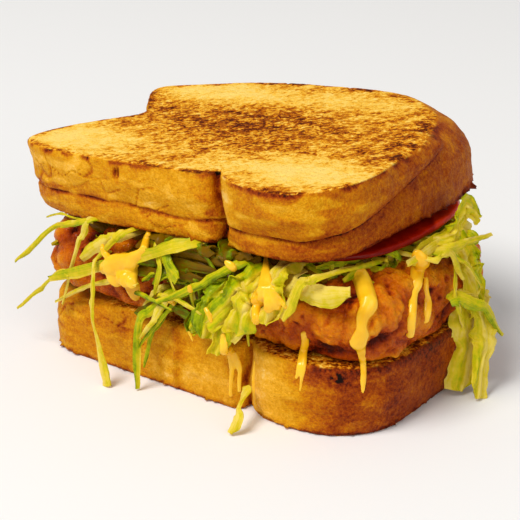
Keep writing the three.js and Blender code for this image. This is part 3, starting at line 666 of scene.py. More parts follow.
# %% [markdown]
# Fried breading is a shell of rounded knobs of every size that grew into each other. The distance to
# the nearest Voronoi point gives just that: a dome round each point, and valleys between the domes.
# Three sizes of knobs and a fine grain are stacked on the cushion that the solid has. Bump in the
# material alone would leave the outline smooth, so the knobs are real. Their height is kept as paint
# too, because knobs fry paler than valleys.

# %% Fried chicken
CHICKEN_VOXEL = 0.55
CHICKEN_IRONING = 2
LUMP = {"least_height": 0.8, "extra_height": 2.2, "least_spread": 0.11, "extra_spread": 0.13}
CHICKEN_LEFT = {
    "middle": (-34.6, -6, 34.9), "half": (34.6, 43, 15.2), "plan": 4.4, "side": 3.4,
    "hump": (227, -8, 4), "lumps": 46, "seed": 11,
}
CHICKEN_RIGHT = {
    "middle": (34, -5.5, 35), "half": (31, 41, 14.8), "plan": 3.6, "side": 3.1,
    "hump": (-50, 8, 3.6), "lumps": 52, "seed": 29,
}
HUMP_SPREAD = 0.4
SHRINKING = 1
BREAD_GAP = 0.35
KNOBS = {"broad": (11, 2.4), "middle": (5.6, 1.5), "small": (2.4, 0.5)}
KNOB_WARP = 1.4
HIGHEST_KNOB = 1.7


def lumps_of(shape):
    draw = random.Random(shape["seed"])
    return [
        (
            towards(360 * draw.random(), 60 * (2 * draw.random() - 1)),
            LUMP["least_height"] + LUMP["extra_height"] * draw.random(),
            LUMP["least_spread"] + LUMP["extra_spread"] * draw.random(),
        )
        for _ in range(shape["lumps"])
    ]


def cushion(shape, way, lumps):
    x, y, z = (abs(value) / half for value, half in zip(way, shape["half"]))
    plan, side = shape["plan"], shape["side"]
    plain = ((x**plan + y**plan) ** (side / plan) + z**side) ** (-1 / side)
    turn, rise, height = shape["hump"]
    relief = -SHRINKING + height * bell(way.angle(towards(turn, rise)), 0, HUMP_SPREAD)
    relief += sum(h * bell(way.angle(at), 0, spread) for at, h, spread in lumps)
    point = way * (plain + relief * (1 - 0.6 * abs(way.z))) + Vector(shape["middle"])
    point.z = max(point.z, THICKNESS + BREAD_GAP)
    return point


def knob(place, size, seed):
    """A dome of height 1 round each of many random points about size apart."""
    away = noise.voronoi(Vector(place) / size + Vector((seed, 0, 0)))[0][0]
    return 0.62 - away * away * 1.9


def warped(place, seed):
    """A place pushed about by noise, so that no knob is round."""
    return place + KNOB_WARP * Vector([rough(place, 5, seed + axis) for axis in range(3)])


def sauce_soak_and_painted_light(place):
    """Where sauce has soaked in the breading is darker; its far right end is paler, which is painted
    light.
    """
    front = 0.2 * bell(place.x, 11, 9) * smooth(-place.y, 25, 40)
    # Painted light: the far right end is paler, to lift the shade that falls there.
    return front - 0.12 * smooth(place.x, 44, 58)


def knob_look(seed):
    def look(place, normal):
        bent = warped(place, seed)
        share = {
            "broad": 1,
            "middle": patches(place, 9, seed + 4, -0.35, 0.3),
            "small": patches(place, 7, seed + 6, -0.3, 0.35),
        }
        height = sum(share[name] * tall * knob(bent, size, seed) for name, (size, tall) in KNOBS.items())
        height += 0.8 * rough(place, 12, seed + 3)
        pits = max(0, rough(place, 2.6, seed + 7) - 0.32)
        grain = 0.46 * rough(place, 1.6, seed + 5) - 2.4 * pits
        under = smooth(place.z, THICKNESS + 0.6, THICKNESS + 2.5)
        crag = 0.44 + 0.2 * height - 1.2 * pits - sauce_soak_and_painted_light(place)
        return min(HIGHEST_KNOB, height + grain) * under, crag
    return look


def cushion_piece(name, shape, fineness):
    """A ball of small triangles whose vertices are moved out to the cushion."""
    bm = bmesh.new()
    bmesh.ops.create_icosphere(bm, subdivisions=fineness, radius=1)
    lumps = lumps_of(shape)
    for vertex in bm.verts:
        vertex.co = cushion(shape, vertex.co.normalized(), lumps)
    return piece_from(name, bm)


def fried_chicken(name, shape):
    piece = remeshed(cushion_piece(name, shape, fineness=6), CHICKEN_VOXEL, CHICKEN_IRONING)
    return dressed(piece, ["crag"], knob_look(shape["seed"]))


chicken_left = fried_chicken("fried_chicken_left", CHICKEN_LEFT)
chicken_right = fried_chicken("fried_chicken_right", CHICKEN_RIGHT)
print("chicken:", len(chicken_left.data.polygons), "and", len(chicken_right.data.polygons), "faces")

# %% [markdown]
# The tomato is one wide slice pressed under the lid. Only its rim shows: skin outside, and a wet cut
# face at the right. The skin's dark red is painted shade from the lid, and the lighter red at the
# right end is painted light. A bevelled disc would look machined, so it is made like the bread: a
# circle extruded through four levels, and remeshed so that it can ripple a little.

# %% Tomato
TOMATO = {"x": 20, "y": -2, "half_x": 38.6, "half_y": 41.6, "square": 2.6, "thick": 2.5}
TOMATO_SAG = {"from": 24, "to": 60, "depth": 1.8}
UNDER_LID = 0.45
TOMATO_LEVELS = [(0, 1.3), (0.25, 0.2), (0.75, 0.2), (1, 1.3)]


def tomato_levels(angle):
    way = towards(angle)
    square = TOMATO["square"]
    across = abs(way.x / TOMATO["half_x"]) ** square + abs(way.y / TOMATO["half_y"]) ** square
    return [(across ** (-1 / square) - inset, share) for share, inset in TOMATO_LEVELS]


def lay_tomato(piece):
    for vertex in piece.data.vertices:
        place = vertex.co
        place.x += TOMATO["x"]
        place.y += TOMATO["y"]
        sag = TOMATO_SAG["depth"] * smooth(place.x, TOMATO_SAG["from"], TOMATO_SAG["to"])
        top = lid_height(place.x, place.y) - UNDER_LID - sag
        place.z = top - TOMATO["thick"] * (1 - place.z)
    return piece


def tomato_look(place, normal):
    sliced = smooth(abs(normal.z), 0.3, 0.8)
    # Painted light: the right front end is lighter red, as if lit. The rest of the rim stays dark as
    # painted shade.
    lit = smooth(0.8 * place.x + 0.6 * place.y, 44, 49)
    return 0.3 * rough(place, 8, 21) + 0.08 * rough(place, 2, 22), max(0.3 * sliced, lit)


TOMATO_VOXEL = 0.6
TOMATO_IRONING = 3

tomato = remeshed(lay_tomato(loaf_slice("tomato_slice", tomato_levels)), TOMATO_VOXEL, TOMATO_IRONING)
dressed(tomato, ["flesh"], tomato_look)
print("tomato:", len(tomato.data.polygons), "faces")

# %% [markdown]
# Shredded lettuce is cut from leaves: some shreds are pale rib, some thin green blade. Copies of one
# shred, scattered, would look alike, so each is a grid bent along its own curve, with ragged edges, a
# cupped section and a ripple. A curve starts inside the heap, comes out over the crust and hangs. The
# curves are the solid's own.

# %% Curves for lettuce
NEAR = {"origin": Vector((0, -51, 0)), "along": Vector((1, 0, 0)), "out": Vector((0, -1, 0))}
RIGHT = {"origin": Vector((63, 0, 0)), "along": Vector((0, 1, 0)), "out": Vector((1, 0, 0))}
ROOT_DEPTH = 13


def curve_points(side, places, reach, lift=0, depth=ROOT_DEPTH, root=None):
    """From inside the heap, out at the start, over the crust and down to the end."""
    start, via, end = places

    def at(place, out):
        along, height = place
        return side["origin"] + side["along"] * along + side["out"] * out + Vector((0, 0, height))

    def between(share):
        return (mix(start[0], via[0], share), mix(start[1], via[1], share))

    first = at(between(-0.3), lift - depth)
    first.z = start[1] - 0.5 if root is None else root
    return [
        first,
        at(start, mix(lift, reach, 0.1)),
        at(between(0.55), mix(lift, reach, 0.6)),
        at(via, mix(lift, reach, 0.8)),
        at(end, reach),
    ]


def on_curve(points, share):
    """A point of the smooth curve through the points."""
    place = min(share, 0.9999) * (len(points) - 1)
    index = int(place)
    t = place - index
    a, b = points[max(index - 1, 0)], points[index]
    c, d = points[index + 1], points[min(index + 2, len(points) - 1)]
    return 0.5 * (
        2 * b + (c - a) * t + (2 * a - 5 * b + 4 * c - d) * t**2 + (3 * b - a - 3 * c + d) * t**3
    )


# %% [markdown]
# A blade is three (along, height) places of its curve on one side of the sandwich, how far out its
# end hangs, its width and how green it is, with a few more settings where it needs them. Painted on
# it are how green a place is, and where it lies along and across the blade, for veins to follow.

# %% Lettuce blades
LETTUCE_VALUES = ["green", "along", "across"]


def new_heap():
    bm = bmesh.new()
    for name in LETTUCE_VALUES:
        bm.verts.layers.float.new(name)
    return bm


SHRED_SLIMNESS = 0.84
SHARPEST_FOLD = 45
LOWEST = 0.1


def cut(first, middle, last, reach, width, green, **more):
    """One blade. Green is 0 for white rib, 0.75 for dark outer leaf, and from 0.88 on an olive brown
    that is painted shade under the lid.
    """
    return {"places": (first, middle, last), "reach": reach, "width": width, "green": green, **more}


def drooping(top, drift, drop, start=0, lowest=0):
    """The three places of a blade that comes out at a height, drifts sideways and drops."""
    middle = (start + 0.5 * drift, top - 0.4 * drop)
    return (start, top), middle, (start + drift, max(lowest, top - drop))


def drawn(draw, ranges):
    """A random value from each range, in the order in which they are written."""
    return [draw.uniform(low, high) for low, high in ranges.values()]


def curve_length(points):
    return sum((b - a).length for a, b in zip(points, points[1:]))


def blade_width(blade, share, across, seed):
    """How wide a blade is at a share of its length: ragged edges, and a slanting cut at its end."""
    slant = 0.1 * across * (1 if seed % 2 else -1)
    tip = 1 - 0.88 * smooth(share + slant, 0.94, 1.03)
    ragged = 1 + 0.4 * noise.noise(Vector((8 * share, seed + 2.3, 0.6 * across)))
    ragged += 0.2 * noise.noise(Vector((26 * share, seed + 7.1, across)))
    flare = smooth(share, blade.get("flare", 0.45), 1)
    return blade["width"] * mix(1, blade.get("end", 0.7), flare) * tip * ragged


def blade_relief(blade, share, across, seed, length):
    """How far a place of a blade stands out of its curve, and how pale its veins are there."""
    edge = abs(2 * across)
    spot = Vector((length * share / 6 + seed, 2.2 * across, seed))
    wave = 2 * blade.get("ruffle", 0.5) * noise.noise(spot)
    fold = abs(noise.noise(Vector((length * share / 4.6, 2.6 * across, seed)))) - 0.2
    pucker = 2 * blade.get("pucker", 0) * fold
    ribs = blade.get("ribs", 0) * math.sin(length * share * 4.2 + 3 * across + seed)
    middle = blade.get("rib", 0) * bell(across, 0.08 * math.sin(3 * share + seed), 0.06)
    branch = math.sin(9 * share + 5 * edge + seed)
    side_veins = blade.get("rib", 0) * 0.5 * bell(branch, 0, 0.16) * (1 - 0.5 * edge)
    cup = blade.get("cup", 0.16) * blade["width"] * edge
    return wave * (0.3 + 0.7 * edge) + pucker + ribs + middle - cup, middle + side_veins


def add_blade(bm, side, blade, seed, rows=26, columns=6):
    """Bends a grid along a blade's curve, and paints it."""
    layers = [bm.verts.layers.float[name] for name in LETTUCE_VALUES]
    keys = ("places", "reach", "lift", "depth", "root")
    points = curve_points(side, **{key: blade[key] for key in keys if key in blade})
    length = curve_length(points)
    twist = math.radians(blade.get("twist", 0))
    turned = math.radians(blade.get("turned", 0))
    tilt = 1 if seed % 2 else -1
    grid = bmesh.ops.create_grid(bm, x_segments=rows, y_segments=columns, size=0.5)["verts"]
    for vertex in grid:
        share, across = vertex.co.x + 0.5, vertex.co.y
        centre = on_curve(points, share)
        travel = (on_curve(points, share + 0.02) - on_curve(points, share - 0.02)).normalized()
        upward = 2 * (1 - smooth(share, 0, 0.45))
        lean = turned + twist * share + 0.5 * noise.noise(Vector((3 * share, seed, 0.7)))
        outward = side["out"] * math.cos(lean) + side["along"] * math.sin(lean)
        outward = outward + Vector((0, 0, upward))
        level = outward.cross(travel).normalized()
        facing = travel.cross(level)
        wander = 0.6 * noise.noise(Vector((length * share / 9, seed, 5.1)))
        lift, vein = blade_relief(blade, share, across, seed, length)
        aside = SHRED_SLIMNESS * across * blade_width(blade, share, across, seed) + wander
        vertex.co = centre + level * aside + facing * lift
        mottle = 0.2 * noise.noise(Vector((length * share / 7, 3 * across, seed)))
        green = blade.get("green", 0.5) + 0.3 * across * tilt + mottle - 0.6 * vein
        for layer, value in zip(layers, (green, share, across)):
            vertex[layer] = value


def add_blades(bm, side, blades, seed, rows, columns=6):
    for number, blade in enumerate(blades):
        add_blade(bm, side, blade, seed + number, rows, columns)


def finished_heap(name, bm, thickness):
    """Gives the blades of a heap their thickness, and keeps them off the table."""
    piece = shaded_smooth(piece_from(name, bm))
    solid = piece.modifiers.new("thickness", "SOLIDIFY")
    solid.thickness = thickness
    solid.offset = 0
    apply_modifiers(piece)
    piece.data.set_sharp_from_angle(angle=math.radians(SHARPEST_FOLD))
    for vertex in piece.data.vertices:
        vertex.co.z = max(LOWEST, vertex.co.z)
    return piece


# %% [markdown]
# The shreds that stand out, on the near side and at the right end. Pale ones are rib, greener ones
# are leaf. The last six of the near side lie in the shade under the lid; their dark olive brown is
# painted shade.

# %% Near shreds
NEAR_SHREDS = [
    cut((-43, 53.6), (-60, 46.5), (-77, 30.4), 3.5, 2.4, 0.34),
    cut((-46, 52.4), (-56, 52.6), (-62, 50.6), 2, 0.7, 0.3, lift=0.6, depth=0.8),
    cut((-43.5, 53.4), (-48.2, 42.7), (-55.6, 20.1), 3.6, 2.5, 0.08, end=0.5),
    cut((-30, 50.5), (-38, 46.6), (-46.6, 40.2), 3.2, 4.4, 0.1, end=1.1),
    cut((-27, 53.4), (-32.5, 48.5), (-39, 40.2), 4.8, 3, 0.3),
    cut((-2, 55), (-31.9, 41.3), (-59.1, 30.4), 6, 4.6, 0.34, end=0.9, ribs=0.3, cup=0.02),
    cut((-54, 33.6), (-67.7, 21.4), (-76.5, 13.3), 4.5, 1.9, 0.26, lift=5.5, depth=0),
    cut((-25, 38.4), (-44, 29.8), (-59.3, 20.2), 3, 2, 0.12, lift=6, depth=0),
    cut((-37.4, 42), (-35.2, 22), (-27.6, 0.8), 12.2, 1.7, 0.14, lift=4.6, end=4.4, flare=0.78),
    cut((-15, 52), (-12.3, 44.1), (-13.8, 35.2), 4, 2.6, 0.36),
    cut((-13, 50), (-8, 46), (-3.4, 43.4), 4.6, 5, 0.5, end=1),
    cut((-9.4, 47), (-7.6, 41.5), (-4.2, 36), 4.4, 2.2, 0.44),
    cut((18, 53), (2.8, 41.8), (-10.5, 33.7), 6.6, 3.6, 0.5, twist=20),
    cut((-19.6, 34.4), (-12, 33.4), (-4.8, 32.6), 6.4, 1.7, 0.6, lift=4, depth=0),
    cut((-9, 36.4), (0.7, 36.3), (7.5, 34.6), 6.6, 1.9, 0.2, lift=4, depth=0),
    cut((-9.7, 36), (-18.6, 24), (-18.9, 0.8), 8.5, 3.6, 0.46, end=0.9, twist=20),
    cut((-9.6, 34), (-12.9, 26.3), (-16.8, 20.4), 8.8, 2.8, 0.1, end=0.4),
    cut((-5.5, 35), (-12.6, 24.4), (-18.8, 15.6), 7, 1.6, 0.56),
    cut((-9, 30), (-15.6, 19.7), (-17.4, 8.4), 6, 1.9, 0.52),
    cut((-12, 34), (-17, 29), (-23.5, 25.6), 3, 4.8, 0.86),
    cut((9, 33), (-1.9, 30), (-8, 31.6), 3.4, 5, 0.84),
    cut((27, 42), (25, 35), (19.3, 28.4), 6.4, 2.8, 0.12, lift=6, end=1, depth=1),
    cut((50, 57), (43.6, 53.5), (38.6, 40.6), 5.4, 3, 0.22, end=1.7, depth=28, root=53),
    cut((36, 51), (47, 49.4), (60, 53), 1.8, 8, 0.08, end=0.9, root=53, depth=16, cup=0.1, ribs=0.3),
    # The last six lie under the lid. Their olive brown is painted shade.
    cut((-24, 45), (-6, 46.2), (13, 48), 0.4, 5.4, 0.96, lift=0.6, depth=2, ribs=0.1, cup=0.06),
    cut((-20, 49.4), (-4, 50.2), (15, 50.6), -0.8, 5, 1.08, lift=-0.6, depth=2, ribs=0.1, cup=0.06),
    cut((-22, 41), (-8, 42), (4, 44.6), 1, 4.6, 1.02, lift=1.2, depth=2, ribs=0.1, cup=0.06),
    cut((-16, 53), (0, 53.6), (16, 53.4), -2.2, 4.4, 1.1, lift=-1.8, depth=2, cup=0.06),
    cut((1, 54.5), (4, 52), (9, 47), 0.2, 2.8, 0.72, lift=-0.6, depth=2),
    cut((10, 53.6), (13.4, 52.4), (15, 47.6), 0.8, 2.4, 0.9, lift=0.2, depth=2),
]
RIGHT_SHREDS = [
    cut((12, 54.4), (-8, 53.6), (-24, 53.6), 0, 6.4, 0.16, end=0.6, depth=16),
    cut((14, 56), (0, 54.6), (-16, 54.8), -3, 5, 0.1, end=0.8, depth=14),
    cut((-16, 54.4), (-10, 55), (-2.3, 44), 8, 2.8, 0.2, lift=2, end=0.8, depth=22),
    cut((-3, 53.6), (-5.4, 38), (-3.6, 31), 8.2, 2.2, 0.24, lift=2, end=0.8, depth=20),
    cut((-4, 37), (4.4, 21), (4.6, 4.6), 4.8, 1.8, 0.18, lift=7.4, depth=0),
    cut((-8, 53.8), (4, 54), (15, 53), 8, 4.4, 0.28, end=0.4, depth=22),
    cut((-6, 53.6), (0.4, 47), (6.1, 38), 10, 1.3, 0.3, depth=20),
    cut((-4.6, 38), (6, 30.4), (14.8, 18.6), 14, 5.4, 0.44, lift=7, end=0.4, depth=1, turned=-25),
]
SHRED_THICKNESS = 0.36

shreds = new_heap()
add_blades(shreds, NEAR, NEAR_SHREDS, seed=1, rows=32)
add_blades(shreds, RIGHT, RIGHT_SHREDS, seed=51, rows=32)
print("shreds placed:", len(NEAR_SHREDS) + len(RIGHT_SHREDS))

# %% [markdown]
# Broad leaf pieces fill the middle of the near side and hang at the right end. They are the same
# blades with more columns, a rib, and puckers instead of a cupped section. The first three lie deep,
# behind the others, and their dark olive brown is painted shade.

# %% Leaf pieces
NEAR_LEAVES = [
    cut((-12, 53), (-10, 48), (-7, 41), -5, 15, 1.1, ruffle=1.4),
    cut((1, 54), (3, 48), (6, 40), -4.5, 15, 1.15, ruffle=1.4),
    cut((15, 55), (17, 50), (18, 43), -4, 15, 1.05, ruffle=1.4),
    cut((26, 51), (19, 43), (10, 33), 7.4, 10, 0.44, ruffle=1.6, turned=25),
    cut((28, 48), (25, 42), (22, 32), 8, 12, 0.34, ruffle=1.8, turned=20),
    cut((14, 44), (9, 36), (8, 27), 7, 9, 0.5, ruffle=1.6, turned=20),
    cut((33, 54), (34, 48), (33, 38), 6.4, 10, 0.2, ruffle=2, root=52.6),
    cut((9, 38), (5, 33), (2, 27), 6, 7.6, 0.58, ruffle=1.6, turned=20),
    cut((20, 39), (16, 31), (14, 22), 6.4, 8, 0.4, ruffle=1.6, turned=25),
]
RIGHT_LEAVES = [
    cut((-3, 57), (4, 66), (11, 60), 5, 8, 0.36, lift=1, ruffle=0.6, depth=12, root=55),
    cut((8, 53.4), (7, 45), (7, 35), 3.6, 10, 0.6, ruffle=1.4, depth=18, turned=-30),
    cut((4, 53.4), (6, 42), (9, 27), 8, 10, 0.36, ruffle=1.6, depth=18, turned=-30),
    cut((11, 33), (6, 16), (0.5, 1.2), 13.5, 10, 0.22, lift=5, ruffle=1.6, depth=1, turned=-35,
        pucker=0.8),
    cut((7, 38), (6.4, 16), (0.5, 2), 7, 14, 0.3, lift=3.4, ruffle=1.2, depth=0.6, turned=-30,
        pucker=0.8),
]
LEAF_THICKNESS = 0.3
LEAF_LOOK = {"end": 0.95, "cup": 0.04, "pucker": 1.6, "rib": 0.5}

leaves = new_heap()
near_leaves = [{**LEAF_LOOK, **leaf} for leaf in NEAR_LEAVES]
right_leaves = [{**LEAF_LOOK, **leaf} for leaf in RIGHT_LEAVES]
add_blades(leaves, NEAR, near_leaves, seed=101, rows=40, columns=26)
add_blades(leaves, RIGHT, right_leaves, seed=121, rows=50, columns=26)
print("leaf pieces placed:", len(NEAR_LEAVES) + len(RIGHT_LEAVES))

# %% [markdown]
# Under the lid the heap goes all round. A crumpled core fills it, painted a dark olive brown as
# shade, and a few hundred short shreds with random places lie tangled over the core, so that no
# smooth surface shows. The random draw is seeded, so the heap is the same each time.

# %% Lettuce bed
BED = {"inset": 9, "floor": 43, "under_lid": 1.4, "highest": 58, "count": 230, "seed": 8}
BED_LEVELS = [(0, 6), (0.35, 0), (0.7, 0.5), (1, 5)]


def bed_levels(angle):
    edge = crust_radius(angle, BOTTOM_SHAPE) - BED["inset"]
    return [(edge - inset, share) for share, inset in BED_LEVELS]


def raise_bed(piece):
    for vertex in piece.data.vertices:
        vertex.co.x += 0.5 * LID["x"]
        under = lid_height(vertex.co.x, vertex.co.y) - BED["under_lid"]
        vertex.co.z = mix(BED["floor"], under, vertex.co.z)
    return piece


def crumple_look(place, normal):
    fold = abs(rough(place, 5.5, 31)) + 0.5 * abs(rough(place, 2.6, 32))
    # Painted shade: a green of about 1.1 paints the core the olive brown of shade under the lid.
    return 2.6 * (fold - 0.4), 1.1 + 0.3 * rough(place, 6, 33), fold, 0.0


def crumpled(piece, voxel):
    return shaded_smooth(dressed(remeshed(piece, voxel), LETTUCE_VALUES, crumple_look))


def out_of_slice(angle):
    """The side of the bottom slice at a compass angle, as a frame to place shreds on."""
    step = 3
    at = [towards(turn) * crust_radius(turn, BOTTOM_SHAPE) for turn in (angle - step, angle + step)]
    along = (at[1] - at[0]).normalized()
    return {"origin": (at[0] + at[1]) / 2, "along": along, "out": Vector((along.y, -along.x, 0))}


BED_VOXEL = 0.9
BED_SHREDS = {
    "drift": (-15, 15), "drop": (-1, 5), "reach": (-8, -1.5), "width": (1.6, 4.2), "green": (0.1, 0.8),
}


def add_bed_shreds(bm):
    """They lie deeper on the near side and at the right, where the shreds above stand out."""
    draw = random.Random(BED["seed"])
    for number in range(BED["count"]):
        side = out_of_slice(360 * draw.random())
        edge = side["origin"]
        top = min(lid_height(edge.x, edge.y), BED["highest"]) - 2 - 7 * draw.random()
        drift, drop, reach, width, green = drawn(draw, BED_SHREDS)
        deeper = 5 * smooth(-edge.y, 25, 42) + 4 * smooth(edge.x, 35, 60)
        blade = cut(*drooping(top, drift, drop), reach - deeper, width, green, lift=-6 - deeper,
                    depth=8, ruffle=0.7)
        add_blade(bm, side, blade, 201 + number, rows=12, columns=3)


lettuce_bed = crumpled(raise_bed(loaf_slice("lettuce_bed", bed_levels)), BED_VOXEL)
add_bed_shreds(shreds)
print("bed:", len(lettuce_bed.data.polygons), "faces")

# %% [markdown]
# The tuft that has slid out between the two pieces of chicken gets the same treatment: a core, then
# short shreds that lean out of it, greener towards the top.

# %% Lettuce tuft
TUFT = {"middle": (4, -38, 40), "half": (24, 13.5, 13), "plan": 2.6, "side": 2.4,
        "hump": (-90, 0, 0), "lumps": 30, "seed": 5}
TUFT_VOXEL = 0.7
TUFT_COUNT = 20
TUFT_SHREDS = {
    "start": (-14, 28), "top": (34, 46), "drift": (-13, 7), "drop": (2, 11), "reach": (-1, 3),
    "lift": (-2, 1), "width": (1.4, 3.6), "green": (0.1, 0.5),
}


def add_tuft_shreds(bm):
    draw = random.Random(TUFT["seed"])
    for number in range(TUFT_COUNT):
        start, top, drift, drop, reach, lift, width, green = drawn(draw, TUFT_SHREDS)
        places = drooping(top, drift, drop, start, lowest=26)
        green += 0.4 * smooth(top, 38, 45)
        blade = cut(*places, reach, width, green, lift=lift, depth=7, ruffle=0.8)
        add_blade(bm, NEAR, blade, 501 + number, rows=16, columns=4)


lettuce_tuft = crumpled(cushion_piece("lettuce_tuft", TUFT, fineness=5), TUFT_VOXEL)
add_tuft_shreds(shreds)
print("tuft:", len(lettuce_tuft.data.polygons), "faces,", TUFT_COUNT, "shreds")

# %% [markdown]
# Strips and leaves also hang at the back and the left, which the photograph doesn't show. There an
# even spacing with random differences is enough.

# %% Shreds round the other sides
ROUND = {"from": 42, "to": 204, "highest": 55, "count": 24, "leaf_every": 4, "seed": 41}
ROUND_BLADES = {
    "drop": (7, 27), "drift": (-11, 11), "reach": (3, 8), "width": (2, 4.2), "green": (0.1, 0.7),
}


def add_round_blades():
    draw = random.Random(ROUND["seed"])
    for number in range(ROUND["count"]):
        share = (number + 0.6 * draw.random()) / ROUND["count"]
        side = out_of_slice(mix(ROUND["from"], ROUND["to"], share))
        edge = side["origin"]
        top = min(lid_height(edge.x, edge.y), ROUND["highest"]) - 2.2 - 1.5 * draw.random()
        drop, drift, reach, width, green = drawn(draw, ROUND_BLADES)
        blade = cut(*drooping(top, drift, drop), reach, width, green, depth=18)
        if number % ROUND["leaf_every"] == 2:
            broad = {**LEAF_LOOK, **blade, "width": 11, "ruffle": 1.8}
            add_blade(leaves, side, broad, 601 + number, rows=36, columns=22)
        else:
            add_blade(shreds, side, blade, 601 + number)


add_round_blades()
lettuce_shreds = finished_heap("lettuce_shreds", shreds, SHRED_THICKNESS)
lettuce_leaves = finished_heap("lettuce_leaves", leaves, LEAF_THICKNESS)
print("lettuce:", len(lettuce_shreds.data.polygons), len(lettuce_leaves.data.polygons), "faces")

# %% [markdown]
# One shred has dropped out. It leans in the seam of the bottom slice with its end on the table.

# %% Fallen shred
FALLEN = cut((21.8, 10.6), (25.4, 6), (25, 1.1), 14.5, 4.2, 0.1, lift=1.4, depth=-1, end=0.8,
             ruffle=0.3)


def fallen_shred():
    bm = new_heap()
    add_blade(bm, NEAR, FALLEN, 77, rows=30)
    return finished_heap("fallen_shred", bm, SHRED_THICKNESS)


loose_strip = fallen_shred()
print("fallen shred:", len(loose_strip.data.polygons), "faces")

# %% [markdown]
# Thick sauce runs down, swells where it slows and hangs in a bead. In a fluid simulation the drips
# would fall where they like. Here each run is a row of balls along its path, melted into one smooth
# body by a voxel remesh. A run is how flat its balls are, and its stops as seen from the camera's
# side: how far to the right, how high and how wide. A ray finds what lies behind, and the balls are
# laid on it, so the sauce follows every crag.

# %% Sauce
SAUCE_VOXEL = 0.3
VIEW_RIGHT = towards(AZIMUTH)
VIEW_IN = towards(AZIMUTH + 90)
BALL_SPACING = 0.45
PLUMP = 0.46
SAUCE_RUNS = [
    (0.28, [(-45.3, 53, 1.6), (-46, 50.6, 2.6), (-48, 48, 3), (-51, 45.6, 4.4), (-54, 42.6, 5.4),
        (-57, 39.4, 2.8)]),
    (0.28, [(-50.5, 45.4, 3.4), (-53, 41, 6), (-54.6, 37.4, 3.4)]),
    (0.2, [(-48, 47.4, 3), (-52.4, 44.2, 6), (-56.2, 41.8, 8.4), (-58.4, 39.8, 5)]),
    (0.2, [(-49.6, 43.6, 3), (-53.4, 41, 6.4), (-56.6, 39.6, 4.4)]),
    (0.34, [(-51, 42, 4), (-50.8, 38, 3.4), (-50.6, 34, 4), (-49.2, 30.4, 2.4)]),
    (0.34, [(-61, 46.8, 1.4), (-60.4, 44.6, 2.2), (-57.6, 42.8, 3)]),
    (0.26, [(-57.4, 42.4, 5), (-60, 40.4, 4), (-60.8, 38.4, 2.2)]),
    (PLUMP, [(-19.6, 53, 1.6), (-18.2, 52.2, 2.8), (-17, 51.2, 2.2)]),
    (PLUMP, [(-31.4, 42.4, 1.8), (-31, 40.8, 2.2)]),
    (PLUMP, [(-37.9, 35.4, 2.6), (-36.8, 33, 1.4)]),
    (PLUMP, [(-26.1, 37.4, 1.6), (-24.9, 35.8, 2), (-24.4, 33.6, 1.2)]),
    (0.34, [(-7.4, 53.9, 0.8), (-9, 49, 2.4), (-11, 44.4, 2.6)]),
    (0.34, [(-7.4, 53.9, 0.8), (-8, 49, 3), (-8.8, 43.6, 3.6)]),
    (0.34, [(-7.4, 53.9, 0.8), (-6.6, 49, 3), (-6.4, 43.8, 3.4)]),
    (0.34, [(-7.4, 53.9, 0.8), (-5.2, 49, 2.6), (-3.8, 44.6, 3)]),
    (0.34, [(-7.4, 53.9, 0.8), (-4.4, 49, 2), (-1.2, 45, 1.6)]),
    (0.36, [(-9.4, 44.6, 3), (-10.4, 41.4, 2.7), (-10.2, 37.6, 2.2), (-9.7, 34.4, 1.4)]),
    (PLUMP, [(21, 51.4, 5.4), (22.6, 48.7, 5.6), (23.8, 46.2, 5.4), (22, 43.4, 4), (21.6, 40, 3),
        (21.6, 37.6, 4.6), (20.8, 34.8, 5.4), (21.8, 31, 3), (22.8, 25, 2), (22.8, 20, 2.2),
        (22.8, 16, 1)]),
    (PLUMP, [(40, 55, 4), (41.6, 51, 5.8), (40.2, 47.3, 4.4), (38.6, 44, 3.2), (38, 40.8, 2.9),
        (37.6, 37, 3), (37.6, 32, 2.8)]),
    (PLUMP, [(43.3, 45.6, 1.4), (42.9, 42, 2.6), (43.6, 38, 3.2), (42.8, 33.8, 2.6)]),
    (PLUMP, [(4.5, 33.4, 2.2), (5, 30, 2.6), (4.4, 26, 2.4), (3.2, 23, 2), (2.2, 19, 1.2)]),
    (PLUMP, [(4.8, 27, 2), (4.4, 22.6, 1.9), (3.9, 19.4, 1.5), (3.4, 14.8, 0.9)]),
    (PLUMP, [(-20.8, 29.4, 1.6), (-20.5, 27, 2.6), (-20.3, 22.8, 2.8), (-18.3, 20, 3.2),
        (-18.1, 15, 1.9), (-18.5, 9.8, 1.6), (-18.6, 5, 1.6)]),
    (PLUMP, [(-17.6, 19.8, 3), (-15.8, 16, 2), (-15.8, 10.8, 1.6), (-15.8, 7, 1.6)]),
    (PLUMP, [(-10.7, 19, 0.8), (-11, 13, 1.7), (-10.8, 7.1, 1.7), (-10.2, 3.4, 1.3)]),
    (PLUMP, [(-33, 23.6, 1.2), (-31.9, 22.2, 1.3), (-30.9, 19.6, 0.7)]),
    (0.34, [(-52.6, 40, 4.6), (-52.4, 36, 5), (-51.4, 32.5, 4.8), (-50.4, 29.4, 3.2)]),
    (0.28, [(-58, 40, 4.6), (-57, 37.6, 5.4), (-55.6, 35.2, 3.2)]),
]
SAUCE_WIDENING = 1.08
SAUCE_EASING = 14
SAUCE_IRONING = 6
VIEWED_FROM = 200


def laid_on(trees, right, height):
    """The point behind a place of the view, the nearest of several pieces, and its normal."""
    start = VIEW_RIGHT * right - VIEW_IN * VIEWED_FROM + Vector((0, 0, height))
    hits = [tree.ray_cast(start, VIEW_IN) for tree in trees]
    hits = [hit for hit in hits if hit[0] is not None]
    return min(hits, key=lambda hit: hit[3])[:2] if hits else None


def eased(depths, rounds):
    """Thick sauce bridges a step in what it runs over, so it is smoothed, but only outwards."""
    for _ in range(rounds):
        before, after = [depths[0]] + depths[:-1], depths[1:] + [depths[-1]]
        depths = [min(b, (a + b + c) / 3) for a, b, c in zip(before, depths, after)]
    return depths


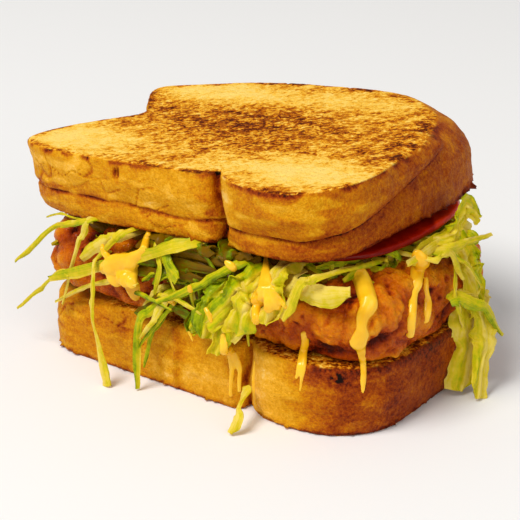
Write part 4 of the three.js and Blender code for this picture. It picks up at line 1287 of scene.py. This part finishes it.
def balls_of(trees, stops):
    """The middle and radius of every ball of a run."""
    corners = [Vector((right, height, 0)) for right, height, _ in stops]
    widths = [(index / (len(stops) - 1), width) for index, (_, _, width) in enumerate(stops)]
    count = max(3, int(curve_length(corners) / BALL_SPACING))
    laid = []
    for index in range(count + 1):
        at = on_curve(corners, index / count)
        found = laid_on(trees, at.x, at.y)
        if found:
            laid.append((at, found[0].dot(VIEW_IN), stepped(widths, index / count)))
    depths = eased([depth for _, depth, _ in laid], SAUCE_EASING)
    return [
        (VIEW_RIGHT * at.x + VIEW_IN * depth + Vector((0, 0, at.y)), 0.5 * SAUCE_WIDENING * width)
        for (at, _, width), depth in zip(laid, depths)
    ]


def add_run(bm, trees, flatness, stops):
    turn = Matrix.Rotation(math.radians(AZIMUTH), 4, "Z")
    flat = Matrix.Diagonal((1, flatness, 1)).to_4x4()
    balls = balls_of(trees, stops)
    for (start, first), (end, last) in zip(balls, balls[1:]):
        steps = max(1, round((end - start).length / BALL_SPACING))
        for step in range(steps):
            share = step / steps
            matrix = Matrix.Translation(start.lerp(end, share)) @ turn @ flat
            bmesh.ops.create_icosphere(bm, subdivisions=2, radius=mix(first, last, share), matrix=matrix)


def melted_sauce(trees):
    bm = bmesh.new()
    for flatness, stops in SAUCE_RUNS:
        add_run(bm, trees, flatness, stops)
    return shaded_smooth(remeshed(piece_from("yellow_sauce", bm), SAUCE_VOXEL, SAUCE_IRONING))


solids_behind = [chicken_left, chicken_right, bottom_toast, lettuce_tuft, lettuce_shreds, lettuce_leaves]
sauce = melted_sauce([tree_of(piece) for piece in solids_behind])
print("sauce:", len(sauce.data.polygons), "faces")

# %% [markdown]
# Materials. A colour is written as on a palette, in sRGB, and turned to linear light by one function.
# One helper adds a node, sets it and links it. Keys that are attributes of the node set it, all
# others are its sockets, and stops fill a colour ramp. A link comes from an output, and a node
# stands for its first output.

# %% Material helpers


def linear(hex_colour):
    values = [int(hex_colour[i : i + 2], 16) / 255 for i in (1, 3, 5)]
    return [v / 12.92 if v <= 0.04045 else ((v + 0.055) / 1.055) ** 2.4 for v in values] + [1]


def add(tree, kind, settings=None, links=None):
    made = tree.nodes.new(kind)
    for key, value in (settings or {}).items():
        if key == "stops":
            ramp = made.color_ramp
            while len(ramp.elements) < len(value):
                ramp.elements.new(1)
            for element, (place, colour) in zip(ramp.elements, value):
                element.position = place
                element.color = linear(colour)
        elif isinstance(key, str) and hasattr(made, key):
            setattr(made, key, value)
        else:
            made.inputs[key].default_value = value
    for key, source in (links or {}).items():
        socket = source.outputs[0] if isinstance(source, bpy.types.Node) else source
        tree.links.new(socket, made.inputs[key])
    return made


def new_material(name):
    material = bpy.data.materials.new(name)
    material.use_nodes = True
    tree = material.node_tree
    tree.nodes.clear()
    return material, tree


def wear(material, *pieces):
    for piece in pieces:
        piece.data.materials.clear()
        piece.data.materials.append(material)
    print(material.name, "has", len(material.node_tree.nodes), "nodes, on", [p.name for p in pieces])


def per_millimetre(size):
    """The scale of a pattern whose grains are that many millimetres, on coordinates in metres."""
    return 1 / (size * MILLIMETRE)


# %% [markdown]
# Griddled wheat bread. The cut face goes from cream through gold to nearly burnt, broken up by flecks
# the size of the crumb's bubbles and by broader scorch marks, both stretched along the way the slice
# was slid on the griddle. The crust is a browner, smoother skin with a little butter on it. Each
# contrast below is a factor and an offset, for the sockets 1 and 2 of its node.

# %% Griddled bread
BREAD_NOISES = {
    "fleck": {"Scale": per_millimetre(1.5), "Detail": 6, "Roughness": 0.7, "Distortion": 0.6},
    "scorch": {"Scale": per_millimetre(5.5), "Detail": 4, "Roughness": 0.6},
    "mottle": {"Scale": per_millimetre(1.1), "Detail": 8, "Roughness": 0.72, "Distortion": 0.3},
    "crumb": {"Scale": per_millimetre(0.9), "Detail": 4, "Roughness": 0.6},
    "grain": {"Scale": per_millimetre(0.6), "Detail": 3, "Roughness": 0.6},
}
SLID = ["fleck", "scorch"]
SLID_STRETCH = 1.2
SCORCH_SHARE = 0.36
FACE_CONTRAST = {1: 3.4, 2: 2.2}
CRUST_CONTRAST = {1: 0.8, 2: -0.4}
# Painted shade: how much the crease value darkens the crust.
CREASE_PAINTED_SHADE = 0.4
BREAD_RELIEF = 0.7 * MILLIMETRE
CRUST_ROUGHNESS = 0.55
FACE_ROUGHNESS = 0.8
GREASE_GLOSS = -0.33
BREAD_SPECULAR = 0.09
FACE_STOPS = [
    (0, "#ffda74"), (0.26, "#fdca4c"), (0.44, "#eea820"), (0.6, "#d27c06"), (0.76, "#a85000"),
    (0.92, "#7a3000"), (1, "#521c00"),
]
CRUST_STOPS = [
    (0, "#ffd272"), (0.2, "#f4b430"), (0.38, "#de9a08"), (0.55, "#ca7800"), (0.72, "#a84c00"),
    (0.86, "#822a00"), (0.96, "#521400"), (1, "#160500"),
]


def griddled_bread():
    material, tree = new_material("griddled_wheat_bread")
    place = add(tree, "ShaderNodeTexCoord").outputs["Object"]
    values = {
        name: add(tree, "ShaderNodeAttribute", {"attribute_name": name}).outputs["Fac"]
        for name in BREAD_VALUES
    }
    slid = add(
        tree, "ShaderNodeMapping",
        {"vector_type": "TEXTURE", "Rotation": (0, 0, math.radians(AZIMUTH)),
         "Scale": (SLID_STRETCH, 1, 1)},
        {"Vector": place},
    )
    noises = {
        name: add(tree, "ShaderNodeTexNoise", settings, {"Vector": slid if name in SLID else place})
        for name, settings in BREAD_NOISES.items()
    }
    specks = add(
        tree, "ShaderNodeMix", {"data_type": "FLOAT", 0: SCORCH_SHARE},
        {2: noises["fleck"], 3: noises["scorch"]},
    )
    centred = add(tree, "ShaderNodeMath", {"operation": "SUBTRACT", 1: 0.5}, {0: specks})
    contrast = add(
        tree, "ShaderNodeMath", {"operation": "MULTIPLY_ADD", **FACE_CONTRAST}, {0: values["griddle"]},
    )
    toast = add(
        tree, "ShaderNodeMath", {"operation": "MULTIPLY_ADD"},
        {0: centred, 1: contrast, 2: values["griddle"]},
    )
    face = add(tree, "ShaderNodeValToRGB", {"stops": FACE_STOPS}, {"Fac": toast})
    mottle = add(
        tree, "ShaderNodeMath", {"operation": "MULTIPLY_ADD", **CRUST_CONTRAST}, {0: noises["mottle"]},
    )
    browned = add(tree, "ShaderNodeMath", {"operation": "ADD"}, {0: mottle, 1: values["browning"]})
    # Painted shade: the crust is darker in its creases.
    crease_shaded = add(
        tree, "ShaderNodeMath", {"operation": "MULTIPLY_ADD", 1: CREASE_PAINTED_SHADE},
        {0: values["crease"], 2: browned},
    )
    skin = add(tree, "ShaderNodeValToRGB", {"stops": CRUST_STOPS}, {"Fac": crease_shaded})
    colour = add(tree, "ShaderNodeMix", {"data_type": "RGBA"}, {0: values["face"], 6: skin, 7: face})
    relief = add(
        tree, "ShaderNodeMix", {"data_type": "FLOAT"},
        {0: values["face"], 2: noises["grain"], 3: noises["crumb"]},
    )
    bump = add(tree, "ShaderNodeBump", {"Strength": 1, "Distance": BREAD_RELIEF}, {"Height": relief})
    matt = add(
        tree, "ShaderNodeMapRange", {"To Min": CRUST_ROUGHNESS, "To Max": FACE_ROUGHNESS},
        {"Value": values["face"]},
    )
    greasy = add(
        tree, "ShaderNodeMath", {"operation": "MULTIPLY_ADD", 1: GREASE_GLOSS},
        {0: values["grease"], 2: matt},
    )
    shader = add(
        tree, "ShaderNodeBsdfPrincipled", {"Specular IOR Level": BREAD_SPECULAR},
        {"Base Color": colour.outputs[2], "Roughness": greasy, "Normal": bump},
    )
    add(tree, "ShaderNodeOutputMaterial", None, {"Surface": shader})
    return material


wear(griddled_bread(), top_toast, bottom_toast)

# %% [markdown]
# Fried flour breading soaked with a red-brown hot oil. Knobs are orange and valleys deep red-brown,
# from the paint. Patches of 7 mm shift the colour and the oil's shine, and a grain of 0.9 mm is that
# of the flour's crumbs. A thin coat is the oil that stands on it.

# %% Fried breading
BREADING_STOPS = [
    (0, "#4c0e00"), (0.18, "#8a2800"), (0.38, "#ba4a00"), (0.6, "#d66e00"), (0.8, "#e88e04"),
    (1, "#f6b028"),
]
BREADING_PATCH = 7
BREADING_GRAIN = 0.9
PATCH_CONTRAST = {1: 0.9, 2: -0.5}
GRAIN_CONTRAST = 0.6
OILINESS = {"From Min": 0.35, "From Max": 0.65, "To Min": 0.18, "To Max": 0.4}
BREADING_RELIEF = 1 * MILLIMETRE


def fried_breading():
    material, tree = new_material("fried_flour_breading")
    place = add(tree, "ShaderNodeTexCoord").outputs["Object"]
    crag = add(tree, "ShaderNodeAttribute", {"attribute_name": "crag"}).outputs["Fac"]
    patch = add(
        tree, "ShaderNodeTexNoise",
        {"Scale": per_millimetre(BREADING_PATCH), "Detail": 6, "Roughness": 0.66}, {"Vector": place},
    )
    grain = add(
        tree, "ShaderNodeTexNoise",
        {"Scale": per_millimetre(BREADING_GRAIN), "Detail": 5, "Roughness": 0.7}, {"Vector": place},
    )
    cloud = add(tree, "ShaderNodeMath", {"operation": "MULTIPLY_ADD", **PATCH_CONTRAST}, {0: patch})
    craggy = add(tree, "ShaderNodeMath", {"operation": "ADD"}, {0: cloud, 1: crag})
    grainy = add(
        tree, "ShaderNodeMath", {"operation": "MULTIPLY_ADD", 1: GRAIN_CONTRAST}, {0: grain, 2: craggy},
    )
    tone = add(tree, "ShaderNodeMath", {"operation": "SUBTRACT", 1: 0.5 * GRAIN_CONTRAST}, {0: grainy})
    colour = add(tree, "ShaderNodeValToRGB", {"stops": BREADING_STOPS}, {"Fac": tone})
    oily = add(tree, "ShaderNodeMapRange", OILINESS, {"Value": patch})
    bump = add(
        tree, "ShaderNodeBump", {"Strength": 0.9, "Distance": BREADING_RELIEF}, {"Height": grain},
    )
    shader = add(
        tree, "ShaderNodeBsdfPrincipled",
        {"Specular IOR Level": 0.1, "Coat Weight": 0.05, "Coat Roughness": 0.08},
        {"Base Color": colour, "Roughness": oily, "Normal": bump},
    )
    add(tree, "ShaderNodeOutputMaterial", None, {"Surface": shader})
    return material


wear(fried_breading(), chicken_left, chicken_right)

# %% [markdown]
# Iceberg lettuce. Ribs are cream, blades yellow-green to dark green, and what lies deepest in the
# heap is painted an olive brown as shade. A leaf is thin, so some light comes through it: part of the
# shader is translucent. Veins run along the blade, so their noise is stretched over its length and
# width.

# %% Lettuce leaf
# From 0.88 on, the stops are olive brown: painted shade for what lies under the lid.
LEAF_AND_PAINTED_SHADE_STOPS = [
    (0, "#f8e46a"), (0.2, "#eed82a"), (0.4, "#d8ce0e"), (0.58, "#aebe06"), (0.76, "#748a02"),
    (0.88, "#7a6a00"), (1, "#866000"),
]
LEAF_BLOTCH = 2.6
VEINS = (3, 9, 1)
LEAF_CONTRAST = {1: 0.7, 2: -0.7}
LEAF_RELIEF = 0.5 * MILLIMETRE
LIGHT_THROUGH = 0.3


def lettuce_leaf():
    material, tree = new_material("crisp_lettuce_leaf")
    place = add(tree, "ShaderNodeTexCoord").outputs["Object"]
    values = {
        name: add(tree, "ShaderNodeAttribute", {"attribute_name": name}).outputs["Fac"]
        for name in LETTUCE_VALUES
    }
    blotch = add(
        tree, "ShaderNodeTexNoise",
        {"Scale": per_millimetre(LEAF_BLOTCH), "Detail": 4, "Roughness": 0.6}, {"Vector": place},
    )
    blade = add(tree, "ShaderNodeCombineXYZ", None, {0: values["along"], 1: values["across"]})
    stretched = add(tree, "ShaderNodeMapping", {"Scale": VEINS}, {"Vector": blade})
    veins = add(
        tree, "ShaderNodeTexNoise", {"Scale": 1, "Detail": 4, "Distortion": 0.4}, {"Vector": stretched},
    )
    pattern = add(tree, "ShaderNodeMath", {"operation": "ADD"}, {0: blotch, 1: veins})
    contrast = add(tree, "ShaderNodeMath", {"operation": "MULTIPLY_ADD", **LEAF_CONTRAST}, {0: pattern})
    tone = add(tree, "ShaderNodeMath", {"operation": "ADD"}, {0: contrast, 1: values["green"]})
    colour = add(tree, "ShaderNodeValToRGB", {"stops": LEAF_AND_PAINTED_SHADE_STOPS}, {"Fac": tone})
    bump = add(tree, "ShaderNodeBump", {"Strength": 0.45, "Distance": LEAF_RELIEF}, {"Height": veins})
    surface = add(
        tree, "ShaderNodeBsdfPrincipled", {"Roughness": 0.3, "Specular IOR Level": 0.14},
        {"Base Color": colour, "Normal": bump},
    )
    through = add(tree, "ShaderNodeBsdfTranslucent", None, {"Color": colour, "Normal": bump})
    leaf = add(tree, "ShaderNodeMixShader", {0: LIGHT_THROUGH}, {1: surface, 2: through})
    add(tree, "ShaderNodeOutputMaterial", None, {"Surface": leaf})
    return material


wear(lettuce_leaf(), lettuce_bed, lettuce_tuft, lettuce_shreds, lettuce_leaves, loose_strip)

# %% [markdown]
# Ripe tomato: a glossy skin at the rim and wetter, lighter cut faces, mottled in patches of about
# 4 mm. The skin's dark red is painted shade, and the lightest red, at the right end, is painted light.

# %% Tomato flesh and skin
# The dark end of these stops is painted shade under the lid, and the light end is painted light at the
# right end.
TOMATO_PAINTED_SHADE_TO_LIGHT_STOPS = [(0.2, "#6a0800"), (0.6, "#961200"), (1, "#d83208")]
TOMATO_MOTTLE = 4


def ripe_tomato():
    material, tree = new_material("ripe_tomato")
    place = add(tree, "ShaderNodeTexCoord").outputs["Object"]
    flesh = add(tree, "ShaderNodeAttribute", {"attribute_name": "flesh"}).outputs["Fac"]
    cells = add(
        tree, "ShaderNodeTexNoise",
        {"Scale": per_millimetre(TOMATO_MOTTLE), "Detail": 4}, {"Vector": place},
    )
    tone = add(tree, "ShaderNodeMath", {"operation": "MULTIPLY_ADD", 1: 0.6}, {0: cells, 2: flesh})
    colour = add(tree, "ShaderNodeValToRGB", {"stops": TOMATO_PAINTED_SHADE_TO_LIGHT_STOPS}, {"Fac": tone})
    shader = add(
        tree, "ShaderNodeBsdfPrincipled", {"Roughness": 0.25, "Specular IOR Level": 0.14},
        {"Base Color": colour},
    )
    add(tree, "ShaderNodeOutputMaterial", None, {"Surface": shader})
    return material


wear(ripe_tomato(), tomato)

# %% [markdown]
# Thick yellow sauce, like mustard stirred with mayonnaise: opaque, smooth and wet. A little light
# goes about 1 mm deep, which keeps its shaded side warm.

# %% Yellow sauce
SAUCE_STOPS = [(0.3, "#f2b404"), (0.7, "#ffcc2c")]
SAUCE_CLOUD = 7
SAUCE_FINISH = {
    "Roughness": 0.24, "Specular IOR Level": 0.4, "Subsurface Weight": 0.12,
    "Subsurface Scale": 1 * MILLIMETRE, "Subsurface Radius": (1, 0.8, 0.2),
}


def yellow_sauce():
    material, tree = new_material("thick_yellow_sauce")
    place = add(tree, "ShaderNodeTexCoord").outputs["Object"]
    cloud = add(
        tree, "ShaderNodeTexNoise", {"Scale": per_millimetre(SAUCE_CLOUD), "Detail": 2},
        {"Vector": place},
    )
    colour = add(tree, "ShaderNodeValToRGB", {"stops": SAUCE_STOPS}, {"Fac": cloud})
    shader = add(tree, "ShaderNodeBsdfPrincipled", SAUCE_FINISH, {"Base Color": colour})
    add(tree, "ShaderNodeOutputMaterial", None, {"Surface": shader})
    return material


wear(yellow_sauce(), sauce)

# %% [markdown]
# Every piece is put in metres and rides on the one body, and the solids it stands for are hidden.

# %% Hand the pieces to the frame
PIECES = [
    (top_toast, "toast", ["top_toast"]),
    (bottom_toast, "toast", ["bottom_toast"]),
    (chicken_left, "chicken", ["chicken_left"]),
    (chicken_right, "chicken", ["chicken_right"]),
    (tomato, "tomato", ["tomato"]),
    (lettuce_bed, "lettuce", ["lettuce"]),
    (lettuce_tuft, "lettuce", ["lettuce"]),
    (lettuce_shreds, "lettuce", ["lettuce"]),
    (lettuce_leaves, "lettuce", ["lettuce"]),
    (loose_strip, "lettuce", ["loose_strip"]),
    (sauce, "sauce", []),
]


def hand_over(piece, nodes):
    piece.data.transform(Matrix.Scale(MILLIMETRE, 4))
    shaded_smooth(piece)
    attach(piece, "root")
    if nodes:
        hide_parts(*nodes)


for piece, slot, nodes in PIECES:
    hand_over(piece, nodes)
print("pieces:", len(PIECES))

# %% [markdown]
# A pale floor, a large soft key light from the upper left, a weak fill and a light sky.

# %% Floor and light
FLOOR_REACH = 12
LIGHT_DISTANCE = 3
LIGHTS = {
    "key": {"turn": AZIMUTH - 140, "rise": 56, "size": 1.4, "watts": 76, "colour": "#fffcf5"},
    "fill": {"turn": AZIMUTH - 60, "rise": 25, "size": 2, "watts": 18, "colour": "#fffaf0"},
}
SKY = {"colour": "#fffdfa", "strength": 0.38}


def make_floor():
    bm = bmesh.new()
    bmesh.ops.create_grid(bm, x_segments=1, y_segments=1, size=FLOOR_REACH)
    floor = piece_from("floor", bm)
    material, tree = new_material("pale_table")
    shader = add(tree, "ShaderNodeBsdfPrincipled", {"Base Color": linear("#f0f1f4"), "Roughness": 0.8})
    add(tree, "ShaderNodeOutputMaterial", None, {"Surface": shader})
    wear(material, floor)


def make_light(name, turn, rise, size, watts, colour):
    light = bpy.data.objects.new(name, bpy.data.lights.new(name, "AREA"))
    bpy.context.scene.collection.objects.link(light)
    back = towards(turn, rise)
    light.location = TARGET * MILLIMETRE + back * LIGHT_DISTANCE
    light.rotation_euler = back.to_track_quat("Z", "Y").to_euler()
    light.data.shape = "DISK"
    light.data.size = size
    light.data.energy = watts
    light.data.color = linear(colour)[:3]


def make_sky(colour, strength):
    world = bpy.data.worlds.new("sky")
    world.use_nodes = True
    background = world.node_tree.nodes["Background"]
    background.inputs["Color"].default_value = linear(colour)
    background.inputs["Strength"].default_value = strength
    bpy.context.scene.world = world


make_floor()
for name, settings in LIGHTS.items():
    make_light(name, **settings)
make_sky(**SKY)
bpy.context.scene.view_settings.view_transform = "Standard"
